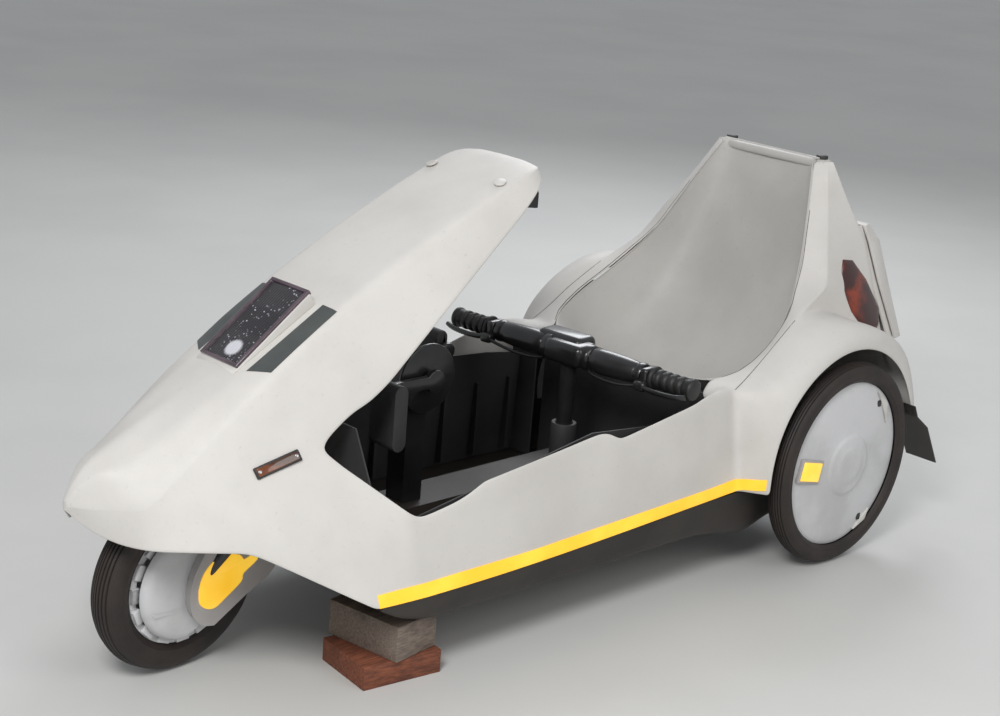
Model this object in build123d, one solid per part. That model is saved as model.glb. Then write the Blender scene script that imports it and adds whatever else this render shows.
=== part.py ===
from build123d import *
import os
from math import cos, hypot, radians, sin

# A single-seat, open, three wheeled electric and pedal car. Millimetres, +Z up, +X forward, +Y to the
# driver's left. The tables use X = 0 at the rear axle and Z = 0 on the floor, and the whole model is moved
# along X before it is written, so that its origin lies under the middle of its overall box.

# Overall sizes of the vehicle. The body is 1744 long from nose to tail, without the mudflaps.
HEIGHT = 795.0
WHEELBASE = 1304.0
NOSE_OVERHANG = 204.0
TAIL_OVERHANG = 236.0
NOSE_X = WHEELBASE + NOSE_OVERHANG
TAIL_X = -TAIL_OVERHANG

# Walls and clearances
WALL = 4.0
TRAY_WALL = 4.0
SEAT_WALL = 5.0
RUNNING_CLEARANCE = 0.5
SIDE_GAP = 6.5

# Wheels
FRONT_TYRE_RADIUS = 158.5
FRONT_TYRE_WIDTH = 57.0
FRONT_TYRE_HEIGHT = 50.0
REAR_TYRE_RADIUS = 203.0
REAR_TYRE_WIDTH = 45.0
REAR_TYRE_HEIGHT = 38.0
REAR_WHEEL_Y = 343.0
DOME_OUT = 29.0
WIDTH = 2 * (REAR_WHEEL_Y + DOME_OUT)
AXLE_RADIUS = 8.0
HUB_BORE = AXLE_RADIUS + RUNNING_CLEARANCE
AXLE_CENTRE = (0, 0, REAR_TYRE_RADIUS)
COVER_WALL = 5.0
HUB_RADIUS = 32.0
# Front and rear wheels: radius share of a tyre's rounded corner to its smaller side
TYRE_CORNER = 0.46
# Reflector on each rear wheel cover. Columns: low x, high x, low z, high z
WHEEL_REFLECTOR = (76, 134, 181, 232)
REFLECTOR_OUT = 24.5

# Steering: one angle turns the front fork and the handlebar, as the car is parked
STEER_PARKED = 5.4
PARKED_RISE = 0.2
HEAD_RAKE = 30.0
HEAD_OFFSET = 21.0
STEERER_RADIUS = 13.0
STEERER_LENGTH = 128.0
HEAD_TUBE = (14.0, 112.0)
HEAD_TUBE_WALL = 8.5
CROWN_GAP = 5.5
CROWN_THICKNESS = 16.0
CROWN_REACH = FRONT_TYRE_RADIUS + CROWN_GAP + CROWN_THICKNESS / 2
CROWN_HALF_WIDTH = 92.0
CROWN_DEPTH = 46.0
BLADE_RADIUS = 10.0
FRONT_AXLE_RADIUS = 6.0
FRONT_HUB_RADIUS = 24.0
FRONT_WEB = 6.0
BAR_X = 424.0
BAR_Z = 404.0
BAR_HALF_LENGTH = 296.0
BAR_RADIUS = 13.0
SLEEVE_RADIUS = 18.0
GRIP_RADIUS = 16.5
GRIP_LENGTH = 118.0
GRIP_END = 6.0
POST_RADIUS = 16.0
SOCKET_WALL = 8.0
SOCKET_HEIGHT = 70.0
CLAMP_LENGTH = 16.0
CLAMP_RADIUS = 21.0
LEVER_RADIUS = 5.0
# Points of the left brake lever. Columns: ahead of the bar, distance from the middle, below the bar
LEVER = [
    (12, BAR_HALF_LENGTH - 130, 10),
    (44, BAR_HALF_LENGTH - 108, 16),
    (50, BAR_HALF_LENGTH - 28, 18),
]

# Pedals
CRANK_BACK = 479.0
CRANK_X = WHEELBASE - CRANK_BACK
CRANK_Z = 425.0
CRANK_LENGTH = 140.0
CRANK_AXLE_RADIUS = 9.0
CRANK_ARM_Y = (56.0, 68.0)
CRANK_ARM_HALF_HEIGHT = 11.0
CHAIN_WHEEL = (40.0, 46.0, 62.0)
BOTTOM_SHELL_HALF = 34.0
BOTTOM_SHELL_WALL = 12.5
SPINDLE_RADIUS = 6.0
SPINDLE_END = 134.0
# Pedal: inner and outer y, half thickness, height over the spindle and below it
PEDAL = (76.0, 138.0, 14.0, 20.0, 66.0)

# Rear end of the seam, and the front edge of the tail cowl
SEAM_Z = REAR_TYRE_RADIUS - 22
COWL_FRONT_X = 257.0
COWL_CORNER_Z = 374.0

# Nose, from the tip back to the front edge of the cockpit.
# Columns: x, crown z, shoulder half width, shoulder z, crease half width, crease z, edge half width, edge z
NOSE = [
    (NOSE_X - 10, 350, 10, 346, 17, 322, 10, 302),
    (NOSE_X - 28, 377, 22, 366, 40, 322, 34, 282),
    (NOSE_X - 50, 392, 40, 378, 60, 327, 72, 270),
    (NOSE_X - 72, 405, 51, 381, 88, 326, 112, 270),
    (NOSE_X - 89, 414, 54, 389, 98, 336, 129, 270),
    (NOSE_X - 146, 440, 58, 428, 102, 387, 172, 270),
    (NOSE_X - 196, 464, 62, 459, 103, 429, 207, 270),
    (NOSE_X - 203, 468, 62, 463, 103, 435, 229, 270),
    (NOSE_X - 242, 488, 64, 485, 103, 467, 245, 246),
    (NOSE_X - 355, 553, 66, 552, 103, 549, 292, 178),
    (NOSE_X - 375, 565, 66, 564, 103, 561, 300, 165),
    (NOSE_X - 378, 567, 66, 566, 103, 563, 300, 165),
]
NOSE_END_X = NOSE[-1][0]
# Half outline of the flat tip, from its lower edge to its top. Columns: half width, z
NOSE_TIP = [(5, 314), (8, 322), (5, 329), (0, 331)]

# Canopy blade that rises over the driver's legs.
# Columns: x, crown z, shoulder half width, shoulder z, crease half width, crease z, edge half width, edge z
BLADE = [
    (NOSE_END_X, 567, 66, 566, 103, 563, None, 390),
    (NOSE_X - 458, 615, 66, 614, 103, 611, 203, 415),
    (NOSE_X - 587, 683, 66, 682, 103, 679, 190, 512),
    (NOSE_X - 745, 756, 66, 755, 103, 752, 158, 642),
    (NOSE_X - 821, HEIGHT - 10, 64, 784, 102, 781, 133, 720),
    (NOSE_X - 848, HEIGHT - 1, 58, 793, 96, 789, 112, 752),
    (NOSE_X - 858, HEIGHT, 46, 794, 76, 790, 88, 766),
]

# Side sills, down to the seam. Columns: x, seam half width, seam z, top half width, top z
SILL = [
    (NOSE_END_X, 300, 165, None, 398),
    (NOSE_X - 480, 300, 161, 262, 310),
    (NOSE_X - 567, 300, 160, 262, 330),
    (NOSE_X - 708, 300, 160, 262, 345),
    (612, 300, 166, 262, 362),
    (400, 301, 175, 286, 392),
    (320, 301, 178, 283, 394),
    (COWL_FRONT_X, 301, SEAM_Z, 270, COWL_CORNER_Z),
]

# Side view of the cockpit opening: its upper edge, under the blade, and its lower edge, on the sills.
# Columns: x, z
CUT_ABOVE = 60.0
CUT_BEHIND = 30.0
BLADE_EDGE = [
    (NOSE_X - 348, 402),
    (NOSE_X - 408, 425),
    (NOSE_X - 458, 451),
    (NOSE_X - 516, 480),
    (NOSE_X - 623, 568),
    (NOSE_X - 745, 666),
    (NOSE_X - 821, 741),
    (NOSE_X - 853, 771),
]
SILL_EDGE = [
    (230, 374),
    (300, 384),
    (345, 385),
    (390, 372),
    (564, 335),
    (578, 348),
    (612, 351),
    (NOSE_X - 637, 321),
    (NOSE_X - 610, 317),
    (NOSE_X - 567, 299),
    (NOSE_X - 480, 288),
    (NOSE_X - 377, 373),
]

# Tail cowl and seat sides, in level slices. Columns: z, front x, front half width, rear corner x, half width
COWL = [
    (SEAM_Z, COWL_FRONT_X, 301, TAIL_X + 30, 296),
    (330, COWL_FRONT_X, 277, TAIL_X + 22, 297),
    (COWL_CORNER_Z, COWL_FRONT_X, 270, TAIL_X + 29, 296),
    (400, 208, 267, TAIL_X + 32, 294),
    (430, 165, 265, TAIL_X + 39, 278),
    (464, 113, 260, TAIL_X + 46, 262),
    (530, -21, 245, TAIL_X + 50, 241),
    (600, -54, 212, TAIL_X + 56, 216),
    (669, -90, 177, TAIL_X + 76, 180),
    (750, -124, 138, TAIL_X + 103, 147),
]

# Seat bucket, from the front edge of the pan to the top of the back. Each slice is flat.
# Columns: dish centre x, z, rim x, z, rim half width, dish half width, height of the dish edge
SEAT = [
    (262, 366, 256, 376, 205, 150, 2),
    (205, 318, 214, 393, 236, 172, 24),
    (120, 296, 150, 428, 244, 185, 34),
    (20, 344, 72, 478, 229, 182, 36),
    (-58, 470, -8, 562, 189, 158, 24),
    (-104, 622, -62, 664, 152, 128, 14),
    (-127, 742, -106, 748, 119, 100, 6),
]

# Rim band between the seat and the tail cowl: the level at which each of SEAT's rows meets the cowl
BAND_Z = [COWL_CORNER_Z, 398, 430, 480, 530, 650, 750]
BAND_THICKNESS = 4.0
BAND_STEEP_Z = 500.0

# Wheel arches: a lip round the tyre, and a bent shoulder from it to the body. Columns of the shoulder:
# angle about the wheel, then reach beyond the lip and half width at its bend, and the same at its foot
ARCH_X = 5.0
ARCH_Z = REAR_TYRE_RADIUS + 5.0
ARCH_RADIUS = REAR_TYRE_RADIUS + 23.0
ARCH_LIP_Y = 358.0
ARCH_JOIN_Y = 300.0
SHOULDER = [
    (-6, 13, 332, 27, 301),
    (10, 15, 330, 29, 290),
    (25, 32, 328, 54, 277),
    (40, 38, 326, 61, 265),
    (55, 34, 326, 48, 262),
    (70, 36, 328, 53, 256),
    (85, 38, 331, 52, 251),
    (100, 38, 334, 38, 254),
    (115, 40, 338, 30, 264),
    (130, 44, 340, 30, 264),
    (145, 35, 340, 30, 230),
    (164, 22, 340, 26, 230),
]

# Lower tray, up to the seam. Columns: x, seam half width, floor half width, floor z
TRAY = [
    (NOSE_X - 386, 299, 295, 156),
    (NOSE_X - 442, 300, 286, 124),
    (NOSE_X - 508, 300, 280, 104),
    (326, 300, 280, 97),
    (200, 302, 288, 75),
    (130, 302, 286, 96),
    (-150, 300, 282, 110),
    (TAIL_X + 30, 294, 286, 172),
]

# Boot lid, in level slices. Columns: z, front x, rear x, half width
LID = [
    (412, TAIL_X + 28, TAIL_X, 298),
    (520, TAIL_X + 42, TAIL_X + 3, 252),
    (595, TAIL_X + 49, TAIL_X + 6, 222),
    (628, TAIL_X + 53, TAIL_X + 30, 208),
]
LID_WALL = 3.0
LID_OPEN = 75.0
HINGE_X = TAIL_X + 46
HINGE_Z = 638.0
HINGE_PIN_RADIUS = 3.0
KNUCKLE_RADIUS = 7.0
KNUCKLE_Y = (118.0, 142.0)
LUG_THICKNESS = 6.0
LUG_GAP = 2.0
LUG_FOOT_X = TAIL_X + 76
# Way into the boot, under the lid: x is open through the rear wall. Columns: half width, low z, high z
BOOT_MOUTH = (175.0, 430.0, 590.0)

# Inside of the leg space
LINER_WALL = 3.0
# Columns: x, foot half width, foot z, top half width, top z
LINER = [
    (NOSE_X - 444, 262, 128, 238, 284),
    (NOSE_X - 480, 264, 118, 244, 274),
    (NOSE_X - 568, 264, 108, 246, 290),
    (612, 264, 106, 246, 346),
    (400, 264, 104, 252, 328),
    (300, 264, 102, 252, 314),
]
RIB_LAST_X = NOSE_X - 562
RIB_FIRST_X = 330.0
RIB_COUNT = 8
RIB_WIDTH = 7.0
RIB_INNER_Y = 242.0
RIB_OUTER_Y = 262.0
RIB_LOW_Z = 116.0
RIB_HIGH_Z = 268.0
BULKHEAD_X = NOSE_X - 428
BULKHEAD_WALL = 3.0
# Half outline from the top down to the tray. Columns: half width, z
BULKHEAD = [(164, 416), (224, 300), (290, 176)]
BULKHEAD_FOOT_Y = 288.0
# Floor tunnel, from the front to the seat: x of its stations, its half widths and its top
TUNNEL_STATIONS = (NOSE_X - 442, NOSE_X - 508, 326, 256)
TUNNEL_FOOT_Y = 60.0
TUNNEL_TOP_Y = 46.0
TUNNEL_TOP_Z = 190.0
SPINE_HALF_WIDTH = 25.0
SPINE_FLOOR_Z = 130.0
SPINE_TOP_Z = 168.0
SPINE_ENDS = (-60.0, NOSE_X - 452)
SPINE_FEET = (-20.0, 190.0, 560.0, NOSE_X - 578)
SPINE_FOOT_LENGTH = 40.0
RISER_FOOT = (NOSE_X - 464, 0, 148)
RISER_RADIUS = 16.0
RISER_HOLE = 24.0
AXLE_PLATE_Y = (100.0, 112.0)
AXLE_PLATE_HALF_LENGTH = 30.0
SHELF_THICKNESS = 12.0
SEAT_RISER_X = 250.0
SEAT_RISER_WALL = 3.0
SEAT_RISER_Y = 228.0
SEAT_RISER_DROP = 18.0

# Reflective strip along the seam
STRIP_HEIGHT = 24.0
STRIP_LIFT = 1.0
STRIP_THICKNESS = 1.6
STRIP_FRONT_X = NOSE_X - 382
STRIP_LIP_GAP = 5.0

# Headlamp on the nose top. Columns: x, z of its side view, the first three points along the nose
LAMP_HALF_WIDTH = 46.0
LAMP_RIM = 5.0
LAMP_FOOT = [(NOSE_X - 264, 498), (NOSE_X - 355, 550), (NOSE_X - 378, 564), (NOSE_X - 425, 592)]
LAMP_TOP = [(NOSE_X - 411, 617), (NOSE_X - 273, 512)]
LENS_THICKNESS = 5.0

# Amber side marker on each flank of the nose: the front and rear ends of its middle line
MARKER_FRONT = (NOSE_X - 235, 375.0)
MARKER_REAR = (NOSE_X - 311, 396.0)
MARKER_HEIGHT = 19.0
MARKER_OUT = 6.0

# Rear lamp on each side of the tail. Columns: x, z
REAR_LAMP = [
    (TAIL_X + 143, 569),
    (TAIL_X + 100, 562),
    (TAIL_X + 82, 530),
    (TAIL_X + 57, 470),
    (TAIL_X + 65, 447),
    (TAIL_X + 95, 424),
    (TAIL_X + 127, 446),
    (TAIL_X + 151, 487),
    (TAIL_X + 152, 541),
]
REAR_LAMP_OUT = 7.0
REAR_LAMP_SUNK = 12.0
# Plane that the rear lamps lie in: half width at a point of it, and its slopes along X and Z
REAR_LAMP_PLANE = (113.0, 464.0, 253.0, -0.0298, -0.3377)

# Battery and drive unit, as plain blocks
BATTERY_SIZE = (132.0, 197.0, 186.0)
BATTERY_FRONT_X = -54.0
BATTERY_FLOOR_Z = 240.0
DRIVE_SIZE = (130.0, 96.0, 110.0)
DRIVE_LOW_Y = 120.0
DRIVE_BELOW = 50.0

# Blocks that the car is parked on. Columns: middle x, y, length, width, low z, high z, turn in degrees
PROP_STEP_Z = 41.0
PROP_TOP_Z = 103.4
PROP_LOWER = (NOSE_X - 479, 199, 150, 129, 0, PROP_STEP_Z, -7.4)
PROP_UPPER = (NOSE_X - 487, 187, 96, 152, PROP_STEP_Z, PROP_TOP_Z, 8)

# Indicator pod under the tip of the canopy. Columns: x, z
POD = [
    (NOSE_X - 880, 714),
    (NOSE_X - 880, 742),
    (NOSE_X - 852, 780),
    (NOSE_X - 806, 772),
    (NOSE_X - 806, 724),
]
POD_HALF_WIDTH = 84.0
POD_STEM = ((NOSE_X - 844, 762), (NOSE_X - 844, 790), (NOSE_X - 816, 780), (NOSE_X - 816, 762))
POD_STEM_HALF_WIDTH = 36.0

# Mudflaps trail behind the arches and set the rear end of the overall box.
# Columns: x behind the lip's rear end, z over the wheel's centre
FLAP_FROM_LIP = [(21, 83), (7, 58), (-35, 28), (-87, -58)]
FLAP = [(ARCH_X - ARCH_RADIUS + x, ARCH_Z + z) for x, z in FLAP_FROM_LIP]
FLAP_THICKNESS = 3.0
FRAME_X = (NOSE_X + FLAP[-1][0]) / 2

# Cap of the seat back and its two round plugs
SEAT_CAP = (-131.0, -102.0, 140.0)
SEAT_CAP_THICKNESS = 4.0
PLUG_X = -117.0
PLUG_Y = 111.0
PLUG_RADIUS = 13.0
PLUG_HEIGHT = 9.0

# Fork covers: a round spat beside the tyre, and a teardrop over each fork blade
SPAT_RADIUS = 98.0
SPAT_THICKNESS = 7.0
SPAT_BORE = 9.0
SPAT_Y = FRONT_TYRE_WIDTH / 2 + SIDE_GAP
BLADE_FOOT_Y = SPAT_Y + 13.0
DROPOUT_Y = BLADE_FOOT_Y + 8.0
COVER_FOOT_RADIUS = 62.0
COVER_TOP_RADIUS = 46.0
COVER_THICKNESS = 26.0
COVER_REACH = 0.82
# Reflector on each cover: radii, reach and thickness
COVER_REFLECTOR = (42.0, 20.0, 0.6, 3.0)


def inset(line, wall):
    """Shift an open line of flat points to its right by the wall, with mitred corners."""
    shifted = []
    last = len(line) - 1
    for i, (u, v) in enumerate(line):
        normals = []
        for a, b in ((i - 1, i), (i, i + 1)):
            if a >= 0 and b <= last:
                du = line[b][0] - line[a][0]
                dv = line[b][1] - line[a][1]
                size = hypot(du, dv)
                normals.append((dv / size, -du / size))
        nu = sum(n[0] for n in normals) / len(normals)
        nv = sum(n[1] for n in normals) / len(normals)
        if len(normals) == 2:
            scale = wall / (nu * nu + nv * nv)
            shifted.append((u + nu * scale, v + nv * scale))
        elif abs(nu) > abs(nv):
            shifted.append((u + wall / nu, v))
        else:
            shifted.append((u, v + wall / nv))
    return shifted


def closed_face(points):
    """A flat or nearly flat face inside a closed line of points."""
    return Wire.make_polygon(points, close=True)


def ruled(wires):
    return Solid.make_loft(wires, ruled=True)


def along_x(stations, wall):
    """A bent wall through slices across X. Each station is x and a line of (y, z)."""
    wires = []
    for x, line in stations:
        inner = inset(line, wall)
        wires.append(closed_face([Vector(x, y, z) for y, z in line + inner[::-1]]))
    return ruled(wires)


def along_z(stations, wall):
    """A bent wall through level slices. Each station is z and a line of (x, y)."""
    wires = []
    for z, line in stations:
        inner = inset(line, wall)
        wires.append(closed_face([Vector(x, y, z) for x, y in line + inner[::-1]]))
    return ruled(wires)


def mirrored(half):
    """A line from the driver's right to the left, from its left half without the middle point."""
    return [(-y, z) for y, z in half]


def prism_y(profile, low_y, high_y):
    """A solid with an X, Z outline between two values of Y."""
    wire = Wire.make_polygon([Vector(x, low_y, z) for x, z in profile], close=True)
    return Solid.extrude(Face(wire), Vector(0, high_y - low_y, 0))


def block(low, high):
    size = [b - a for a, b in zip(low, high)]
    return Pos(*low) * Box(*size, align=(Align.MIN, Align.MIN, Align.MIN))


def rod(start, end, radius):
    """A round bar between two points."""
    a, b = Vector(*start), Vector(*end)
    plane = Plane(origin=a, z_dir=(b - a).normalized())
    return Solid.make_cylinder(radius, (b - a).length, plane)


def tube(start, end, outer, inner):
    return rod(start, end, outer) - rod(start, end, inner)


def turned(profile, centre):
    """A ring about an axis along Y through centre. The profile is (radius, y) points."""
    cx, cy, cz = centre
    wire = Wire.make_polygon([Vector(cx + r, cy + y, cz) for r, y in profile], close=True)
    return Solid.revolve(Face(wire), 360, Axis((cx, cy, cz), (0, 1, 0)))


def both_sides(shape):
    return [shape, shape.mirror(Plane.XZ)]


def side_half_width(z):
    """Half width of the flat nose side at the front edge of the cockpit."""
    crease_y, crease_z, edge_y, edge_z = NOSE[-1][4:]
    return crease_y + (edge_y - crease_y) * (crease_z - z) / (crease_z - edge_z)


def front_stations(rows):
    """Lines from the right lower edge over the top to the left lower edge."""
    stations = []
    for x, crown_z, shoulder_y, shoulder_z, crease_y, crease_z, edge_y, edge_z in rows:
        edge = edge_y if edge_y is not None else side_half_width(edge_z)
        half = [(edge, edge_z), (crease_y, crease_z), (shoulder_y, shoulder_z)]
        stations.append((x, mirrored(half) + [(0, crown_z)] + half[::-1]))
    return stations


def cockpit_cut():
    """The side-view opening, as a prism across the whole car."""
    top_z = HEIGHT + CUT_ABOVE
    top = [(BLADE_EDGE[-1][0] - CUT_BEHIND, top_z), (SILL_EDGE[0][0] - CUT_BEHIND, top_z)]
    return prism_y(BLADE_EDGE + top + SILL_EDGE, -WIDTH / 2, WIDTH / 2)


def nose_shell():
    shell = along_x(front_stations(NOSE), WALL)
    x, crown_z, shoulder_y, shoulder_z, crease_y, crease_z, edge_y, edge_z = NOSE[0]
    rear = [(edge_y, edge_z), (crease_y, crease_z), (shoulder_y, shoulder_z)]
    *front, (_, tip_z) = NOSE_TIP
    outline = [
        closed_face([Vector(x, y, z) for y, z in mirrored(rear) + [(0, crown_z)] + rear[::-1]]),
        closed_face([Vector(NOSE_X, y, z) for y, z in mirrored(front) + [(0, tip_z)] + front[::-1]]),
    ]
    return (shell + ruled(outline)) - cockpit_cut()


def canopy_blade():
    return along_x(front_stations(BLADE), WALL) - cockpit_cut()


def sill_row(x):
    """The sill's seam and top at x."""
    top_y, top_z = [between(SILL_ROWS, x, column) for column in (3, 4)]
    return between(SILL_ROWS, x, 1), between(SILL_ROWS, x, 2), top_y, top_z


def sill():
    """The left sill, from the nose to the tail cowl."""
    stations = []
    for x in SIDE_STATIONS:
        seam_y, seam_z, top_y, top_z = sill_row(x)
        stations.append((x, [(top_y, top_z), (seam_y, seam_z)]))
    return along_x(stations, WALL) - cockpit_cut()


def cowl_lines():
    stations = []
    for z, front_x, front_y, rear_x, rear_y in COWL:
        line = [(front_x, -front_y), (rear_x, -rear_y), (rear_x, rear_y), (front_x, front_y)]
        stations.append((z, line))
    return stations


def tail_cowl():
    return along_z(cowl_lines(), WALL)


def cowl_block():
    """The space that the cowl encloses, its walls included."""
    return ruled([closed_face([Vector(x, y, z) for x, y in line]) for z, line in cowl_lines()])


def wheel_arch(side_panel):
    """The left flare around the rear wheel, from the lip to the body side."""
    sections = []
    for degrees, bend, bend_y, foot, foot_y in SHOULDER:
        angle = radians(degrees)
        line = [(0, ARCH_LIP_Y), (bend, bend_y), (foot, foot_y)]
        line += [(reach - WALL, y) for reach, y in line[::-1]]
        points = []
        for reach, y in line:
            radius = ARCH_RADIUS + reach
            points.append(Vector(ARCH_X + radius * cos(angle), y, ARCH_Z + radius * sin(angle)))
        sections.append(closed_face(points))
    return ruled(sections) - cowl_block() - side_panel


def crest(z):
    """Place of the cowl's front edge at a level."""
    rows = COWL[::-1]
    return between(rows, z, 1), between(rows, z, 2)


def seat_band(neighbours):
    """The left rim band, from the seat's dish to the cowl's front edge."""
    sections = []
    drop = Vector(0, 0, -BAND_THICKNESS)
    for (_, _, rim_x, rim_z, rim_y, _, _), z in zip(SEAT, BAND_Z):
        edge_x, edge_y = crest(z)
        ends = [Vector(rim_x, rim_y, rim_z), Vector(edge_x, edge_y, z)]
        back = Vector(-BAND_THICKNESS, 0, 0) if z > BAND_STEEP_Z else drop
        sections.append(closed_face(ends + [end + back for end in ends[::-1]]))
    band = ruled(sections)
    for shape in neighbours:
        band -= shape
    return max(band.solids(), key=lambda piece: piece.volume)


def seat_bucket():
    """The dished seat and its back, as one thin moulding."""
    sections = []
    for centre_x, centre_z, rim_x, rim_z, rim_y, dish_y, dish_up in SEAT:
        up_x, up_z = rim_x - centre_x, rim_z - centre_z
        depth = hypot(up_x, up_z)
        half = [(rim_y, depth), (dish_y, dish_up)]
        line = mirrored(half) + [(0, 0)] + half[::-1]
        points = [
            Vector(centre_x + up_x / depth * up, y, centre_z + up_z / depth * up)
            for y, up in line + inset(line, SEAT_WALL)[::-1]
        ]
        sections.append(closed_face(points))
    return ruled(sections)


def between(rows, x, column):
    """A value of a table at x, on the straight line between its rows."""
    for a, b in zip(rows, rows[1:]):
        if a[0] >= x >= b[0]:
            share = (a[0] - x) / (a[0] - b[0])
            return a[column] + (b[column] - a[column]) * share
    return rows[-1][column]


# The sill's first top corner lies on the nose's flat flank.
SILL_ROWS = [(x, seam, z, top if top else side_half_width(top_z), top_z) for x, seam, z, top, top_z in SILL]
TRAY_XS = [row[0] for row in TRAY]
SIDE_STATIONS = sorted({row[0] for row in SILL} | {x for x in TRAY_XS if x > COWL_FRONT_X}, reverse=True)
TRAY_STATIONS = sorted(set(TRAY_XS) | {row[0] for row in SILL[1:]}, reverse=True)


def seam_z(x):
    """Height of the seam between the tray and the upper body at x."""
    return between(SILL_ROWS, max(x, COWL_FRONT_X), 2)


def lower_tray():
    stations = []
    for x in TRAY_STATIONS:
        seam_y, floor_y, floor = [between(TRAY, x, column) for column in (1, 2, 3)]
        half = [(seam_y, seam_z(x)), (floor_y, floor)]
        stations.append((x, half + mirrored(half)[::-1]))
    return along_x(stations, TRAY_WALL)


def floor_z(x):
    """Height of the tray's inner floor at x."""
    return between(TRAY, x, 3) + TRAY_WALL


def flank_y(x, z):
    """Half width of the nose's flat flank at x and z."""
    crease_y, crease_z, edge_y, edge_z = [between(NOSE, x, column) for column in (4, 5, 6, 7)]
    return crease_y + (edge_y - crease_y) * (crease_z - z) / (crease_z - edge_z)


def front_block(rows):
    """The space under the nose or the canopy blade, its wall included."""
    return ruled([closed_face([Vector(x, y, z) for y, z in line]) for x, line in front_stations(rows)])


# Steering geometry. The head axis leans back, and the wheel centre stands a little ahead of it.
LEAN = radians(HEAD_RAKE)
HEAD_UP = Vector(-sin(LEAN), 0, cos(LEAN))
HEAD_AHEAD = Vector(cos(LEAN), 0, sin(LEAN))
HUB = Vector(WHEELBASE, 0, FRONT_TYRE_RADIUS + PARKED_RISE)
HEAD_FOOT = HUB - HEAD_AHEAD * HEAD_OFFSET
CROWN = HEAD_FOOT + HEAD_UP * CROWN_REACH
HEAD_AXIS = Axis(HEAD_FOOT, HEAD_UP)
BAR_AXIS = Axis((BAR_X, 0, 0), (0, 0, 1))


def steered(shape):
    """Turn a piece of the straight fork to where it is parked."""
    return shape.rotate(HEAD_AXIS, STEER_PARKED)


def tyre(radius, width, height, centre):
    """A plump tyre about an axis along Y, with a rounded section."""
    x, y, z = centre
    corner = min(width, height) * TYRE_CORNER
    section = Plane((x + radius - height / 2, y, z)) * RectangleRounded(height, width, corner)
    return Solid.revolve(section.face(), 360, Axis((x, y, z), (0, 1, 0)))


def front_tyre():
    return steered(tyre(FRONT_TYRE_RADIUS, FRONT_TYRE_WIDTH, FRONT_TYRE_HEIGHT, tuple(HUB)))


def front_rim():
    """A cast wheel: hub, web and a ring that the tyre sits on."""
    seat = FRONT_TYRE_RADIUS - FRONT_TYRE_HEIGHT
    bore = FRONT_AXLE_RADIUS + RUNNING_CLEARANCE
    flange = SPAT_Y - SIDE_GAP - 2
    ring = FRONT_TYRE_WIDTH * 0.35
    half = [(bore, flange), (FRONT_HUB_RADIUS, flange), (FRONT_HUB_RADIUS, FRONT_WEB)]
    half += [(seat - 14, FRONT_WEB), (seat - 8, ring), (seat, ring)]
    return steered(turned(half + [(r, -y) for r, y in half[::-1]], tuple(HUB)))


def straight_fork():
    """Steerer, crown, two blades that spread upwards, and the axle through the wheel."""
    crown_plane = Plane(origin=CROWN, x_dir=(0, 1, 0), z_dir=HEAD_UP)
    crown_width = 2 * (CROWN_HALF_WIDTH + BLADE_RADIUS)
    body = crown_plane * Box(crown_width, CROWN_DEPTH, CROWN_THICKNESS)
    body += rod(CROWN, CROWN + HEAD_UP * STEERER_LENGTH, STEERER_RADIUS)
    axle_end = Vector(0, DROPOUT_Y, 0)
    body += rod(HUB - axle_end, HUB + axle_end, FRONT_AXLE_RADIUS)
    for side in (1, -1):
        foot = HUB + Vector(0, side * BLADE_FOOT_Y, 0)
        body += rod(foot, CROWN + Vector(0, side * CROWN_HALF_WIDTH, 0), BLADE_RADIUS)
        body += Pos(*foot) * Sphere(BLADE_RADIUS)
    return body


def cover_plane():
    """Local frame of the left fork cover, whose x runs up the blade, and the blade's length."""
    foot = HUB + Vector(0, BLADE_FOOT_Y, 0)
    top = CROWN + Vector(0, CROWN_HALF_WIDTH, 0)
    along = (top - foot).normalized()
    outward = (Vector(0, 1, 0) - along * along.Y).normalized()
    return Plane(origin=foot, x_dir=along, z_dir=outward), (top - foot).length


def teardrop(foot_radius, top_radius, reach):
    """A flat outline around two circles, the first at the origin and the second along x."""
    circles = [CenterArc((0, 0), foot_radius, 0, 360), CenterArc((reach, 0), top_radius, 0, 360)]
    return make_hull([edge for circle in circles for edge in circle.edges()])


def fork_cover():
    """Left cover: a teardrop over the blade and a round spat beside the tyre."""
    plane, length = cover_plane()
    outline = teardrop(COVER_FOOT_RADIUS, COVER_TOP_RADIUS, length * COVER_REACH)
    shell = plane * (Pos(0, 0, -COVER_THICKNESS / 2) * extrude(outline, COVER_THICKNESS))
    reach = length + COVER_FOOT_RADIUS
    inside = (WHEELBASE - reach, -reach, -reach)
    shell -= block(inside, (WHEELBASE + reach, SPAT_Y, FRONT_TYRE_RADIUS + reach))
    outer = SPAT_Y + SPAT_THICKNESS
    ring = [(SPAT_BORE, SPAT_Y), (SPAT_RADIUS, SPAT_Y), (SPAT_RADIUS - SPAT_THICKNESS, outer), (SPAT_BORE, outer)]
    return shell + turned(ring, tuple(HUB))


def cover_reflector():
    plane, length = cover_plane()
    foot_radius, top_radius, share, thickness = COVER_REFLECTOR
    outline = teardrop(foot_radius, top_radius, length * share)
    return plane * (Pos(4, 0, COVER_THICKNESS / 2) * extrude(outline, thickness))


def parked_bar(shape):
    """Turn a piece of the straight handlebar to where it is parked."""
    return shape.rotate(BAR_AXIS, STEER_PARKED)


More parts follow.
